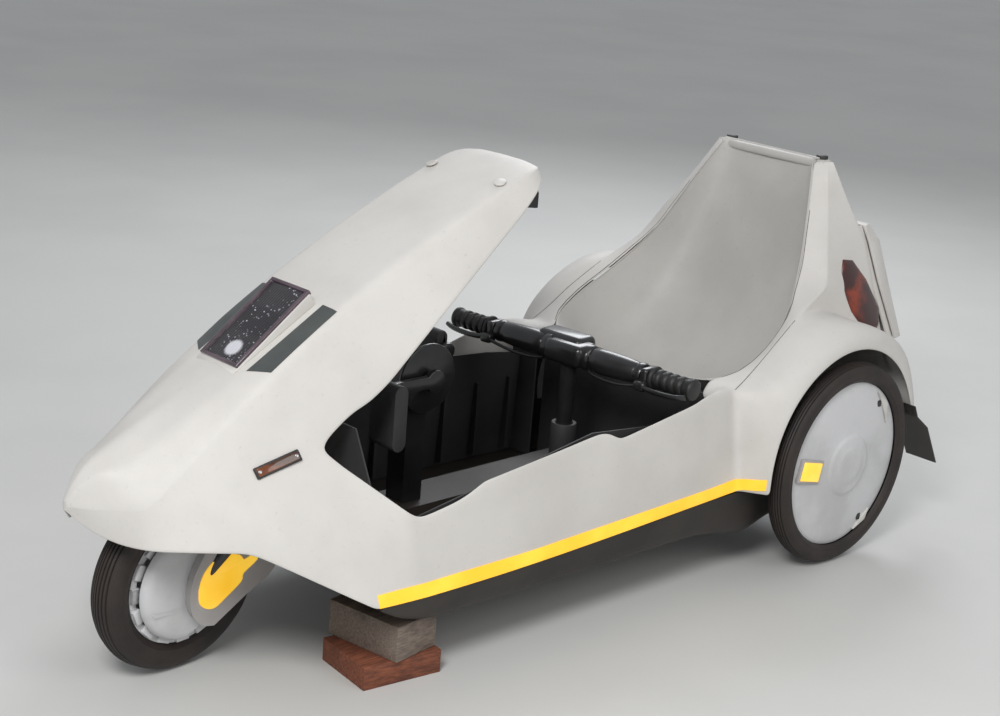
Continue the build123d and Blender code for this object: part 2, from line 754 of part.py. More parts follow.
def handlebar():
    """Post, centre clamp and the cross bar with its thick sleeve."""
    body = rod((BAR_X, 0, TUNNEL_TOP_Z + 5), (BAR_X, 0, BAR_Z), POST_RADIUS)
    body += block((BAR_X - 34, -46, BAR_Z - 20), (BAR_X + 30, 46, BAR_Z + 24))
    bar_end = BAR_HALF_LENGTH - GRIP_END
    sleeve_end = LEVER[0][1] - CLAMP_LENGTH / 2
    body += rod((BAR_X, -bar_end, BAR_Z), (BAR_X, bar_end, BAR_Z), BAR_RADIUS)
    body += rod((BAR_X, -sleeve_end, BAR_Z), (BAR_X, sleeve_end, BAR_Z), SLEEVE_RADIUS)
    return parked_bar(body)


def grip(side):
    """A rubber grip over the end of the bar, closed at its outer end."""
    end = side * BAR_HALF_LENGTH
    start = end - side * GRIP_LENGTH
    body = rod((BAR_X, start, BAR_Z), (BAR_X, end, BAR_Z), GRIP_RADIUS)
    return parked_bar(body - rod((BAR_X, start, BAR_Z), (BAR_X, end - side * GRIP_END, BAR_Z), BAR_RADIUS))


def brake_lever(side):
    """A clamp round the bar and a lever that lies ahead of the grip."""
    points = [Vector(BAR_X + ahead, side * out, BAR_Z - below) for ahead, out, below in LEVER]
    half = CLAMP_LENGTH / 2
    clamp_y = side * LEVER[0][1]
    body = rod((BAR_X, clamp_y - half, BAR_Z), (BAR_X, clamp_y + half, BAR_Z), CLAMP_RADIUS)
    for a, b in zip(points, points[1:]):
        body += rod(a, b, LEVER_RADIUS)
        body += Pos(*b) * Sphere(LEVER_RADIUS)
    body -= rod((BAR_X, clamp_y - 2 * half, BAR_Z), (BAR_X, clamp_y + 2 * half, BAR_Z), BAR_RADIUS)
    return parked_bar(body)


def bar_socket():
    """Bearing tube on the tunnel for the handlebar post."""
    bore = POST_RADIUS + RUNNING_CLEARANCE
    return tube((BAR_X, 0, TUNNEL_TOP_Z), (BAR_X, 0, TUNNEL_TOP_Z + SOCKET_HEIGHT), bore + SOCKET_WALL, bore)


def across(radius, half, x=CRANK_X, z=CRANK_Z):
    return rod((x, -half, z), (x, half, z), radius)


def crank():
    """Axle, chain wheel and two opposed arms, lying level, with a pedal spindle on each."""
    arm_inner, arm_outer = CRANK_ARM_Y
    body = across(CRANK_AXLE_RADIUS, arm_outer)
    wheel_inner, wheel_outer, wheel_radius = CHAIN_WHEEL
    body += rod((CRANK_X, wheel_inner, CRANK_Z), (CRANK_X, wheel_outer, CRANK_Z), wheel_radius)
    for side in (1, -1):
        tip_x = CRANK_X + side * CRANK_LENGTH
        low_y, high_y = sorted((side * arm_inner, side * arm_outer))
        low_x, high_x = sorted((CRANK_X, tip_x))
        half = CRANK_ARM_HALF_HEIGHT
        body += block((low_x, low_y, CRANK_Z - half), (high_x, high_y, CRANK_Z + half))
        body += rod((tip_x, low_y, CRANK_Z), (tip_x, high_y, CRANK_Z), half + 4)
        body += rod((CRANK_X, low_y, CRANK_Z), (CRANK_X, high_y, CRANK_Z), half + 9)
        body += rod((tip_x, side * arm_inner, CRANK_Z), (tip_x, side * SPINDLE_END, CRANK_Z), SPINDLE_RADIUS)
    return body


def pedal(side):
    """A pedal that hangs from its spindle."""
    x = CRANK_X + side * CRANK_LENGTH
    inner, outer, half, above, below = PEDAL
    low_y, high_y = sorted((side * inner, side * outer))
    body = block((x - half, low_y, CRANK_Z - below), (x + half, high_y, CRANK_Z + above))
    for z in (CRANK_Z - below, CRANK_Z + above):
        body += rod((x, low_y, z), (x, high_y, z), half)
    bore_end = side * (SPINDLE_END + RUNNING_CLEARANCE)
    return body - rod((x, 0, CRANK_Z), (x, bore_end, CRANK_Z), SPINDLE_RADIUS + RUNNING_CLEARANCE)


def crank_post():
    """Upright on the floor tunnel, with the shell that the crank axle turns in."""
    bore = CRANK_AXLE_RADIUS + RUNNING_CLEARANCE
    shell = bore + BOTTOM_SHELL_WALL
    body = block((CRANK_X - shell, -shell, TUNNEL_TOP_Z), (CRANK_X + shell, shell, CRANK_Z))
    return body + across(shell, BOTTOM_SHELL_HALF) - across(bore, BOTTOM_SHELL_HALF + 6)


def riser(radius):
    """The bar from the spine's front end to the steering head."""
    return rod(RISER_FOOT, CROWN + HEAD_UP * sum(HEAD_TUBE) / 2, radius)


def chassis():
    """Spine in the floor tunnel, riser to the steering head, axle plates and the battery shelf."""
    spine_rear, spine_front = SPINE_ENDS
    half = SPINE_HALF_WIDTH
    body = block((spine_rear, -half, SPINE_FLOOR_Z), (spine_front, half, SPINE_TOP_Z))
    body += riser(RISER_RADIUS)
    plate_inner, plate_outer = AXLE_PLATE_Y
    for x in SPINE_FEET:
        ends = (x, x + SPINE_FOOT_LENGTH)
        foot = [(end, floor_z(end)) for end in ends] + [(end, SPINE_FLOOR_Z + 10) for end in ends[::-1]]
        body += prism_y(foot, -half, half)
    reach = AXLE_PLATE_HALF_LENGTH
    body += block((-reach, -plate_outer, SPINE_FLOOR_Z), (reach, plate_outer, SPINE_FLOOR_Z + SHELF_THICKNESS))
    shelf_z = BATTERY_FLOOR_Z - SHELF_THICKNESS
    for side in (1, -1):
        low_y, high_y = sorted((side * plate_inner, side * plate_outer))
        body += block((-reach, low_y, SPINE_FLOOR_Z), (reach, high_y, shelf_z))
    shelf_rear = BATTERY_FRONT_X - BATTERY_SIZE[0]
    body += block((shelf_rear, -plate_outer, shelf_z), (reach, plate_outer, BATTERY_FLOOR_Z))
    low, high = [CROWN + HEAD_UP * s for s in HEAD_TUBE]
    bore = STEERER_RADIUS + RUNNING_CLEARANCE
    body += rod(low, high, bore + HEAD_TUBE_WALL)
    body -= rod(low - HEAD_UP * 4, high + HEAD_UP * 30, bore)
    return body - rear_axle()


def rear_axle():
    end = WIDTH / 2 - COVER_WALL - 1
    return rod((0, -end, REAR_TYRE_RADIUS), (0, end, REAR_TYRE_RADIUS), AXLE_RADIUS)


def drive_unit():
    """Motor and gearbox on the axle, beside the left wheel."""
    length, width, height = DRIVE_SIZE
    low_z = REAR_TYRE_RADIUS - DRIVE_BELOW
    high = (length / 2, DRIVE_LOW_Y + width, low_z + height)
    return block((-length / 2, DRIVE_LOW_Y, low_z), high) - rear_axle()


def battery():
    length, width, height = BATTERY_SIZE
    low = (BATTERY_FRONT_X - length, -width / 2, BATTERY_FLOOR_Z)
    return block(low, (BATTERY_FRONT_X, width / 2, BATTERY_FLOOR_Z + height))


def floor_tunnel():
    stations = []
    for x in TUNNEL_STATIONS:
        half = [(TUNNEL_FOOT_Y, floor_z(x)), (TUNNEL_TOP_Y, TUNNEL_TOP_Z)]
        stations.append((x, mirrored(half) + half[::-1]))
    return along_x(stations, LINER_WALL) - riser(RISER_HOLE)


def foot_bulkhead(shells):
    """Upright panel between the driver's feet and the front wheel."""
    half = BULKHEAD + [(BULKHEAD_FOOT_Y, floor_z(BULKHEAD_X + BULKHEAD_WALL) - 0.5)]
    outline = half + mirrored(half)[::-1]
    wire = Wire.make_polygon([Vector(BULKHEAD_X, y, z) for y, z in outline], close=True)
    plate = Solid.extrude(Face(wire), Vector(BULKHEAD_WALL, 0, 0)) - riser(RISER_HOLE)
    for shell in shells:
        plate -= shell
    return plate


def side_liner(tray):
    """Left inner side of the leg space, with its upright ribs."""
    stations = [(x, [(top_y, top_z), (foot_y, foot_z)]) for x, foot_y, foot_z, top_y, top_z in LINER]
    body = along_x(stations, LINER_WALL)
    for i in range(RIB_COUNT):
        x = RIB_FIRST_X + i * (RIB_LAST_X - RIB_FIRST_X) / (RIB_COUNT - 1)
        body += block((x, RIB_INNER_Y, RIB_LOW_Z), (x + RIB_WIDTH, RIB_OUTER_Y, RIB_HIGH_Z))
    return body - tray


def seat_riser(tray):
    """Upright panel under the front edge of the seat, cut out over the tunnel."""
    low_z = floor_z(SEAT_RISER_X)
    x = SEAT_RISER_X
    top_z = SEAT[0][1] - SEAT_RISER_DROP
    panel = block((x, -SEAT_RISER_Y, low_z), (x + SEAT_RISER_WALL, SEAT_RISER_Y, top_z))
    notch = block((x - 5, -TUNNEL_FOOT_Y, low_z), (x + 9, TUNNEL_FOOT_Y, TUNNEL_TOP_Z))
    return panel - notch - tray


def seat_cap():
    low_x, high_x, half = SEAT_CAP
    low_z = COWL[-1][0]
    return block((low_x, -half, low_z), (high_x, half, low_z + SEAT_CAP_THICKNESS))


def seat_plugs():
    low_z = COWL[-1][0] + SEAT_CAP_THICKNESS
    return [rod((PLUG_X, y, low_z), (PLUG_X, y, low_z + PLUG_HEIGHT), PLUG_RADIUS) for y in (-PLUG_Y, PLUG_Y)]


def rear_wheel():
    """Left rear wheel: hub, web and the domed cover that closes its outer side."""
    seat = REAR_TYRE_RADIUS - REAR_TYRE_HEIGHT
    ring = REAR_TYRE_WIDTH * 0.35
    inner = REAR_WHEEL_Y - ring
    outer = REAR_WHEEL_Y + ring - 4
    dome = WIDTH / 2
    profile = [
        (HUB_BORE, inner),
        (HUB_RADIUS, inner),
        (HUB_RADIUS, inner + 12),
        (seat - 16, inner + 14),
        (seat - 8, inner),
        (seat, inner),
        (seat, outer),
        (seat - 14, outer + 4),
        (62, dome - 7),
        (54, dome - 3),
        (38, dome),
        (0, dome),
        (0, dome - COVER_WALL),
        (HUB_BORE, dome - COVER_WALL),
    ]
    return turned(profile, AXLE_CENTRE)


def wheel_reflector():
    low_x, high_x, low_z, high_z = WHEEL_REFLECTOR
    out_y = REAR_WHEEL_Y + REFLECTOR_OUT
    return block((low_x, out_y - 14, low_z), (high_x, out_y, high_z)) - rear_wheel()


def rear_tyre():
    return tyre(REAR_TYRE_RADIUS, REAR_TYRE_WIDTH, REAR_TYRE_HEIGHT, (0, REAR_WHEEL_Y, REAR_TYRE_RADIUS))


def lamp_housing():
    top = [(x, z - LENS_THICKNESS) for x, z in LAMP_TOP]
    half = LAMP_HALF_WIDTH + LAMP_RIM
    return prism_y(LAMP_FOOT + top, -half, half) - front_block(NOSE) - front_block(BLADE)


def lamp_lens():
    low = [(x, z - LENS_THICKNESS) for x, z in LAMP_TOP]
    return prism_y(LAMP_TOP + low[::-1], -LAMP_HALF_WIDTH, LAMP_HALF_WIDTH)


def side_marker():
    """A slanted amber lamp standing proud of the left flank of the nose."""
    (front_x, front_z), (rear_x, rear_z) = MARKER_FRONT, MARKER_REAR
    half = MARKER_HEIGHT / 2
    front_y = [flank_y(front_x, front_z + dz) for dz in (-half, half)]
    rear_y = flank_y(rear_x, rear_z + half)
    corners = [
        Vector(front_x, front_y[0], front_z - half),
        Vector(front_x, front_y[1], front_z + half),
        Vector(rear_x, rear_y, rear_z + half),
        Vector(rear_x, rear_y + front_y[0] - front_y[1], rear_z - half),
    ]
    rings = [closed_face([corner + Vector(0, out, 0) for corner in corners]) for out in (-WALL, MARKER_OUT)]
    return ruled(rings) - front_block(NOSE)


def rear_lamp():
    """A long diamond lens on the tail's left side."""
    rings = []
    for lift in (-REAR_LAMP_SUNK, REAR_LAMP_OUT):
        rings.append(closed_face([Vector(x, lamp_y(x, z) + lift, z) for x, z in REAR_LAMP]))
    return ruled(rings) - cowl_block()


def lamp_y(x, z):
    """Half width of the plane that the left rear lamp lies in."""
    plane_x, plane_z, plane_y, slope_x, slope_z = REAR_LAMP_PLANE
    return plane_y + slope_x * (x - plane_x) + slope_z * (z - plane_z)


def strip_line(x, lift, out):
    """A point of the sill's outer face at x, some way over the seam, moved out from the face."""
    seam_y, seam, top_y, top_z = sill_row(x)
    slope = (top_y - seam_y) / (top_z - seam)
    size = hypot(1, slope)
    return seam_y + slope * lift + out / size, seam + lift - out * slope / size


def seam_strip(side_panel, arch):
    """The left yellow reflective strip over the seam, in a long piece and a short one on the arch."""
    wires = []
    low, high = STRIP_LIFT, STRIP_LIFT + STRIP_HEIGHT
    for x in [STRIP_FRONT_X] + [x for x in SIDE_STATIONS if x < STRIP_FRONT_X]:
        corners = [(low, 0), (high, 0), (high, STRIP_THICKNESS), (low, STRIP_THICKNESS)]
        wires.append(closed_face([Vector(x, *strip_line(x, lift, out)) for lift, out in corners]))
    foot_x, lip_x = COWL_FRONT_X, ARCH_X + ARCH_RADIUS
    foot_y, lip_y = SILL_ROWS[-1][1], ARCH_LIP_Y - STRIP_LIP_GAP
    out_x, out_y = STRIP_THICKNESS * 0.9, STRIP_THICKNESS * 0.45
    corners = [(foot_x, foot_y), (lip_x, lip_y), (lip_x + out_x, lip_y + out_y), (foot_x + out_x, foot_y + out_y)]
    wire = Wire.make_polygon([Vector(x, y, SEAM_Z + low) for x, y in corners], close=True)
    tail = Solid.extrude(Face(wire), Vector(0, 0, STRIP_HEIGHT))
    return (ruled(wires) + tail) - side_panel - arch


def lid_solid(wall, low_z, high_z):
    """The lid's outer form, or its hollow, which is open to the front."""
    wires = []
    for i, (z, front_x, rear_x, half) in enumerate(LID):
        level = low_z if i == 0 else high_z if i == len(LID) - 1 else z
        front = front_x + (20 if wall else 0)
        corners = [(front, half - wall), (rear_x + wall, half - 8 - wall)]
        line = corners + [(x, -y) for x, y in corners[::-1]]
        wires.append(closed_face([Vector(x, y, level) for x, y in line]))
    return ruled(wires)


def boot_lid():
    """A deep lid, open to the front, with two hinge knuckles on its upper edge."""
    low, high = LID[0][0], LID[-1][0]
    body = lid_solid(0, low, high) - lid_solid(LID_WALL, low + LID_WALL, high - LID_WALL)
    for side in (1, -1):
        a, b = sorted(side * y for y in KNUCKLE_Y)
        body += block((HINGE_X - KNUCKLE_RADIUS, a, high - LID_WALL), (HINGE_X + 2, b, HINGE_Z))
        body += rod((HINGE_X, a, HINGE_Z), (HINGE_X, b, HINGE_Z), KNUCKLE_RADIUS)
        body -= rod((HINGE_X, a - 1, HINGE_Z), (HINGE_X, b + 1, HINGE_Z), HINGE_PIN_RADIUS + RUNNING_CLEARANCE)
    return body


def hinge_lug(side):
    """A pair of lugs on the tail with the pin that one of the lid's knuckles turns on."""
    pairs = []
    for y, way in zip(KNUCKLE_Y, (-1, 1)):
        start = y + way * LUG_GAP
        pairs.append(sorted((side * start, side * (start + way * LUG_THICKNESS))))
    ends = [y for pair in pairs for y in pair]
    lug = rod((HINGE_X, min(ends), HINGE_Z), (HINGE_X, max(ends), HINGE_Z), HINGE_PIN_RADIUS)
    half = HINGE_PIN_RADIUS + 2
    for low_y, high_y in pairs:
        lug += block((HINGE_X - half, low_y, HINGE_Z - half), (LUG_FOOT_X, high_y, HINGE_Z + half))
    return lug - cowl_block()


def indicator_pod(blade):
    """Small dark pod with the driver's indicators, hung under the canopy's tip."""
    return prism_y(POD, -POD_HALF_WIDTH, POD_HALF_WIDTH) - blade


def pod_stem(blade):
    return prism_y(POD_STEM, -POD_STEM_HALF_WIDTH, POD_STEM_HALF_WIDTH) - blade


def mudflap(arch, tray):
    lower = inset(FLAP, -FLAP_THICKNESS)
    return prism_y(FLAP + lower[::-1], ARCH_JOIN_Y, WIDTH / 2) - arch - tray


def prop(row):
    x, y, length, width, low_z, high_z, turn = row
    box = Pos(0, 0, (low_z + high_z) / 2) * Box(length, width, high_z - low_z)
    return Pos(x, y, 0) * Rot(0, 0, turn) * box


def place(shape):
    """Move a shape from the tables' frame to the model's own frame."""
    return Pos(-FRAME_X, 0, 0) * shape


def body_panels(nose, blade, tray, sills, arch):
    """The shells and what is fixed to them."""
    half, low_z, high_z = BOOT_MOUTH
    rear = [row[3] for row in COWL]
    mouth = block((min(rear) - WALL, -half, low_z), (max(rear) + WALL, half, high_z))
    cowl = tail_cowl()
    seat = seat_bucket() - cowl
    return {
        "nose_shell": nose,
        "canopy_blade": blade,
        "tail_cowl": cowl - across(AXLE_RADIUS + 4, WIDTH / 2, 0, REAR_TYRE_RADIUS) - mouth,
        "seat_bucket": seat,
        "seat_bands": both_sides(seat_band((cowl, seat, sills[0], arch))),
        "seat_cap": seat_cap(),
        "seat_plugs": seat_plugs(),
        "lower_tray": tray,
        "floor_tunnel": floor_tunnel(),
        "foot_bulkhead": foot_bulkhead([nose, blade, tray] + sills),
        "seat_riser": seat_riser(tray),
        "lamp_housing": lamp_housing(),
        "lamp_lens": lamp_lens(),
        "indicator_pod": indicator_pod(blade) + pod_stem(blade),
        "lid_hinges": [hinge_lug(side) for side in (1, -1)],
        "side_markers": both_sides(side_marker()),
        "rear_lamps": both_sides(rear_lamp()),
        "prop_lower": prop(PROP_LOWER),
        "prop_upper": prop(PROP_UPPER),
    }


def running_gear():
    """The frame, the axles and what moves, apart from the rear wheels."""
    cover, reflector = fork_cover() - straight_fork(), cover_reflector()
    covers = both_sides(cover)
    return {
        "chassis": chassis(),
        "rear_axle": rear_axle(),
        "drive_unit": drive_unit(),
        "battery": battery(),
        "crank_post": crank_post(),
        "bar_socket": bar_socket(),
        "boot_lid": boot_lid(),
        "steering_fork": steered(straight_fork()),
        "fork_cover_left": steered(covers[0]),
        "fork_cover_right": steered(covers[1]),
        "cover_reflectors": [steered(piece) for piece in both_sides(reflector)],
        "front_rim": front_rim(),
        "front_tyre": front_tyre(),
        "handlebar": handlebar(),
        "grips": [grip(side) for side in (1, -1)],
        "brake_levers": [brake_lever(side) for side in (1, -1)],
        "crank": crank(),
        "pedal_left": pedal(1),
        "pedal_right": pedal(-1),
    }


def build():
    """All the pieces, by name, in the tables' frame."""
    side_panel, tray = sill(), lower_tray()
    arch = wheel_arch(side_panel)
    pieces = body_panels(nose_shell(), canopy_blade(), tray, both_sides(side_panel), arch)
    pieces.update(running_gear())
    pieces["seam_strips"] = both_sides(seam_strip(side_panel, arch))
    pairs = {
        "sill": side_panel,
        "wheel_arch": arch,
        "side_liner": side_liner(tray),
        "rear_wheel": rear_wheel(),
        "rear_tyre": rear_tyre(),
        "wheel_reflector": wheel_reflector(),
    }
    for name, shape in pairs.items():
        pieces[name + "_left"], pieces[name + "_right"] = both_sides(shape)
    pieces["mudflaps"] = both_sides(mudflap(arch, tray))
    return pieces


os.makedirs("parts", exist_ok=True)
PIECES = {}
for name, shape in build().items():
    PIECES[name] = place(Compound(children=shape) if isinstance(shape, list) else shape)
    export_step(PIECES[name], "parts/" + name + ".step")
    box = PIECES[name].bounding_box()
    size = [round(v, 1) for v in (*box.min, *box.max)]
    print(name, PIECES[name].is_valid, len(PIECES[name].solids()), size, round(PIECES[name].volume))
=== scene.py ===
# %% [markdown]
# # A three wheeled car, dressed on its CAD frame
# The real vehicle is a low, open, single seat car: one large plastic moulding on a steel spine, with a
# small steered wheel under the nose and two covered wheels beside the seat. The CAD frame gives
# every piece its place and its motion. This script gives the pieces their real surfaces.

# %% Load the frame
import bpy
from math import atan2, cos, degrees, hypot, pi, radians, sin
from mathutils import Matrix, Vector


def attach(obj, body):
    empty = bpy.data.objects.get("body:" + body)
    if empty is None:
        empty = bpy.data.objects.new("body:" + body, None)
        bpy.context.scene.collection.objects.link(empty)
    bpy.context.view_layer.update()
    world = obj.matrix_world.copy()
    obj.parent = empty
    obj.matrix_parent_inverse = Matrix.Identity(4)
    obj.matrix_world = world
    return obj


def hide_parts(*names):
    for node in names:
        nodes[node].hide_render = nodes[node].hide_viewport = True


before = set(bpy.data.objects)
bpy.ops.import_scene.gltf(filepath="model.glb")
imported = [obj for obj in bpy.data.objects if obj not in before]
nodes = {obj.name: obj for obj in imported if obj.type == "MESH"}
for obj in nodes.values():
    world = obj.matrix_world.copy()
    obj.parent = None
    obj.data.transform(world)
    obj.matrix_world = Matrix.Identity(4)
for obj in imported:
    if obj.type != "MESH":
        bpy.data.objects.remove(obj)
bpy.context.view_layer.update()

# %% [markdown]
# ## Where things are
# The sizes below are millimetres, with X = 0 at the rear axle, as a maker would measure the car. One
# function turns such a place into the frame's metres.

# %% Places
MM = 0.001
FRAME_X = 600
# Middles of the rear wheels and of the front one
AXLE_Z = 203
WHEEL_Y = 343
HUB_X, HUB_Z = 1304, 158.7


def at(x, y, z):
    """A place on the car, in the frame's metres."""
    return Vector(((x - FRAME_X) * MM, y * MM, z * MM))


def between(rows, x, column):
    """A value of a table at x, on the straight line between its rows."""
    rows = sorted(rows, key=lambda row: row[0])
    if x <= rows[0][0]:
        return rows[0][column]
    for a, b in zip(rows, rows[1:]):
        if x <= b[0]:
            return a[column] + (b[column] - a[column]) * (x - a[0]) / (b[0] - a[0])
    return rows[-1][column]


# %% [markdown]
# ## The camera
# It stands ahead of the car on its left, a little over two metres from the nose, and looks down at it. It
# is made early, before the pieces.

# %% Camera
# In the frame's metres
CAMERA_PLACE = (2.2809, 2.2850, 1.3859)
CAMERA_YAW, CAMERA_DIP, CAMERA_ROLL = radians(-134.83), radians(16.75), radians(4.47)
LENS_MM = 66.52


def camera_matrix():
    """The camera's place and turn: it looks along its own -Z."""
    ahead = Vector((cos(CAMERA_DIP) * cos(CAMERA_YAW), cos(CAMERA_DIP) * sin(CAMERA_YAW), -sin(CAMERA_DIP)))
    right = ahead.cross(Vector((0, 0, 1))).normalized()
    up = right.cross(ahead)
    c, s = cos(CAMERA_ROLL), sin(CAMERA_ROLL)
    basis = Matrix((right * c + up * s, up * c - right * s, -ahead)).transposed()
    return Matrix.Translation(CAMERA_PLACE) @ basis.to_4x4()


bpy.ops.object.select_all(action="DESELECT")
bpy.ops.object.camera_add()
camera = bpy.context.object
camera.data.lens = LENS_MM
camera.data.clip_end = 100
camera.matrix_world = camera_matrix()
bpy.context.scene.camera = camera
print("camera at", tuple(round(v, 2) for v in camera.location))

# %% [markdown]
# ## Writing finishes as sums
# A finish is a small network of nodes. Wrapping a socket in a class with operators lets the network be
# written as arithmetic, which is easier to read and to change than wires.

# %% Shader values


class Value:
    """A socket of a material's nodes, which takes part in Python sums."""

    def __init__(self, socket):
        self.socket = socket
        self.tree = socket.id_data

    def node(self, kind, settings, inputs, output=0):
        """Any other node of the same material. Its settings are made before its sockets are filled."""
        made = self.tree.nodes.new(kind)
        for name, value in settings.items():
            setattr(made, name, value)
        for key, value in inputs.items():
            if isinstance(value, Value):
                self.tree.links.new(value.socket, made.inputs[key])
            else:
                made.inputs[key].default_value = value
        return Value(made.outputs[output])

    def math(self, operation, a, b=0.0):
        return self.node("ShaderNodeMath", {"operation": operation}, {0: a, 1: b})

    def __add__(self, other):
        return self.math("ADD", self, other)

    __radd__ = __add__

    def __mul__(self, other):
        return self.math("MULTIPLY", self, other)

    __rmul__ = __mul__

    def __sub__(self, other):
        return self.math("SUBTRACT", self, other)

    def __rsub__(self, other):
        return self.math("SUBTRACT", other, self)

    def root(self):
        return self.math("SQRT", self)

    def sine(self):
        return self.math("SINE", self)

    def ramp(self, low, high):
        """0 below low and 1 above high, with a soft step between."""
        limits = {"Value": self, "From Min": low, "From Max": high}
        return self.node("ShaderNodeMapRange", {"interpolation_type": "SMOOTHSTEP"}, limits)

    def mix(self, a, b):
        """Colour a where this value is 0, and colour b where it is 1."""
        return self.node("ShaderNodeMix", {"data_type": "RGBA"}, {0: self, 6: a, 7: b}, 2)

    def noise(self, scale, detail=4.0, roughness=0.55):
        """Cloudy variation read at this place."""
        inputs = {"Vector": self, "Scale": scale, "Detail": detail, "Roughness": roughness}
        return self.node("ShaderNodeTexNoise", {}, inputs)

    def parts(self):
        """The X, Y and Z of this place."""
        first = self.node("ShaderNodeSeparateXYZ", {}, {0: self})
        return [Value(output) for output in first.socket.node.outputs]


class Finish:
    """One material: its shader, the place that its patterns are read at, and what feeds it."""

    def __init__(self, name, **constants):
        self.material = bpy.data.materials.new(name)
        self.material.use_nodes = True
        self.shader = self.material.node_tree.nodes["Principled BSDF"]
        for socket, value in constants.items():
            self.shader.inputs[socket.replace("_", " ")].default_value = value
        texture_place = self.material.node_tree.nodes.new("ShaderNodeTexCoord")
        self.place = Value(texture_place.outputs["Object"])

    def feed(self, socket, value):
        self.material.node_tree.links.new(value.socket, self.shader.inputs[socket])

    def relief(self, height, distance, strength=1.0):
        """Small bumps from a height that varies over the surface."""
        inputs = {"Strength": strength, "Distance": distance, "Height": height}
        self.feed("Normal", height.node("ShaderNodeBump", {}, inputs))


def rgb(red, green, blue):
    return (red, green, blue, 1.0)


def darker(tone, share):
    """A colour with only this share of its light."""
    return rgb(*[v * share for v in tone[:3]])


# %% [markdown]
# ## Plastics, rubber and metal
# Most surfaces are one idea with other numbers: a colour that drifts slowly towards a second one, fine
# specks of dirt, a roughness that drifts too, and a grain. Moulded body plastic has a leathery grain and
# picks up grey scuffs, rubber is darker and rougher, and painted metal is smooth.

# %% Common finishes
CLOUD_STEP, DIRT_STEP = (0.35, 0.7), (0.58, 0.78)
DIRT_FINENESS, DIRT_TONE = 24, 0.45


def worn(name, main, other, drift, speck, rough, grain=900.0, depth=0.00012, **constants):
    """A plain surface with slow colour drift, dirt specks, uneven gloss and a fine grain."""
    finish = Finish(name, **constants)
    cloud = finish.place.noise(drift)
    dirt = finish.place.noise(drift * DIRT_FINENESS, 6.0, 0.7)
    base = cloud.ramp(*CLOUD_STEP).mix(main, other)
    finish.feed("Base Color", (dirt.ramp(*DIRT_STEP) * speck).mix(base, darker(other, DIRT_TONE)))
    low, high = rough
    finish.feed("Roughness", cloud * (high - low) + low + dirt * 0.06)
    finish.relief(finish.place.noise(grain, 2.0) + dirt * 0.5, depth)
    return finish.material


# Each gives its name, colour and second colour, the scale of the drift, the share of dirt, the range of
# roughness, and then the scale of the grain and its depth in metres
SHELL_WHITE = worn(
    "shell_plastic", rgb(0.62, 0.6, 0.57), rgb(0.56, 0.54, 0.51), 5.0, 0.3, (0.42, 0.56), 700.0, 0.00025,
)
SEAT_GREY = worn(
    "seat_plastic", rgb(0.5, 0.485, 0.46), rgb(0.43, 0.42, 0.4), 5.0, 0.35, (0.45, 0.6), 650.0, 0.0003,
)
COVER_WHITE = worn("cover_plastic", rgb(0.6, 0.6, 0.61), rgb(0.5, 0.5, 0.5), 9.0, 0.3, (0.35, 0.5))
COVER_GREY = worn("cover_grey_plastic", rgb(0.45, 0.43, 0.42), rgb(0.38, 0.36, 0.35), 9.0, 0.3, (0.35, 0.5))
CHARCOAL = worn(
    "charcoal_plastic", rgb(0.035, 0.034, 0.036), rgb(0.024, 0.023, 0.024), 8.0, 0.5, (0.5, 0.66), 500.0,
    0.0003,
)
TRAY_BLACK = worn("tray_plastic", rgb(0.03, 0.024, 0.02), rgb(0.018, 0.015, 0.013), 6.0, 0.5, (0.4, 0.55))
BLACK_METAL = worn(
    "black_paint", rgb(0.012, 0.012, 0.013), rgb(0.02, 0.02, 0.021), 12.0, 0.3, (0.22, 0.36), 300.0, 0.00005,
    Coat_Weight=0.4, Coat_Roughness=0.15,
)
BRIGHT_STEEL = worn(
    "bright_steel", rgb(0.55, 0.55, 0.56), rgb(0.42, 0.42, 0.43), 30.0, 0.3, (0.2, 0.35), 400.0, 0.00005,
    Metallic=1.0,
)
GRIP_RUBBER = worn("grip_rubber", rgb(0.014, 0.014, 0.014), rgb(0.022, 0.021, 0.02), 30.0, 0.3, (0.4, 0.55))
DRIVE_METAL = worn(
    "cast_metal", rgb(0.3, 0.3, 0.31), rgb(0.2, 0.2, 0.21), 20.0, 0.5, (0.4, 0.6), 300.0, Metallic=0.8,
)
BATTERY_BLACK = worn("battery_case", rgb(0.02, 0.021, 0.024), rgb(0.03, 0.03, 0.032), 10.0, 0.3, (0.35, 0.5))
DECAL_GREY = worn(
    "decal_film", rgb(0.075, 0.083, 0.08), rgb(0.055, 0.06, 0.06), 12.0, 0.3, (0.3, 0.42), 200.0, 0.00004,
)
# Dark grey for the moulding's creases: painted shade where the plastic folds.
PAINTED_CREASE_SHADE = worn("crease_painted_shade", rgb(0.16, 0.15, 0.14), rgb(0.1, 0.095, 0.09), 12.0, 0.2, (0.6, 0.7))
PLUG_BLACK = worn("plug_rubber", rgb(0.03, 0.03, 0.03), rgb(0.02, 0.02, 0.02), 30.0, 0.3, (0.5, 0.6))
WHITE_PLUG = worn("blade_plug", rgb(0.62, 0.6, 0.57), rgb(0.5, 0.48, 0.45), 30.0, 0.3, (0.3, 0.4))
print(len(bpy.data.materials), "materials so far")

# %% [markdown]
# ## Finishes with their own pattern
# Tyre rubber is brown black with rings moulded into its side. Retroreflective tape is a bright yellow that
# seems to give light, so it gets a little emission, a painted glow. Lamp lenses are coloured plastic with
# prisms behind, and the blocks under the nose are rough timber with grain along their length.

# %% Special finishes
RINGS_PER_METRE = 1400.0


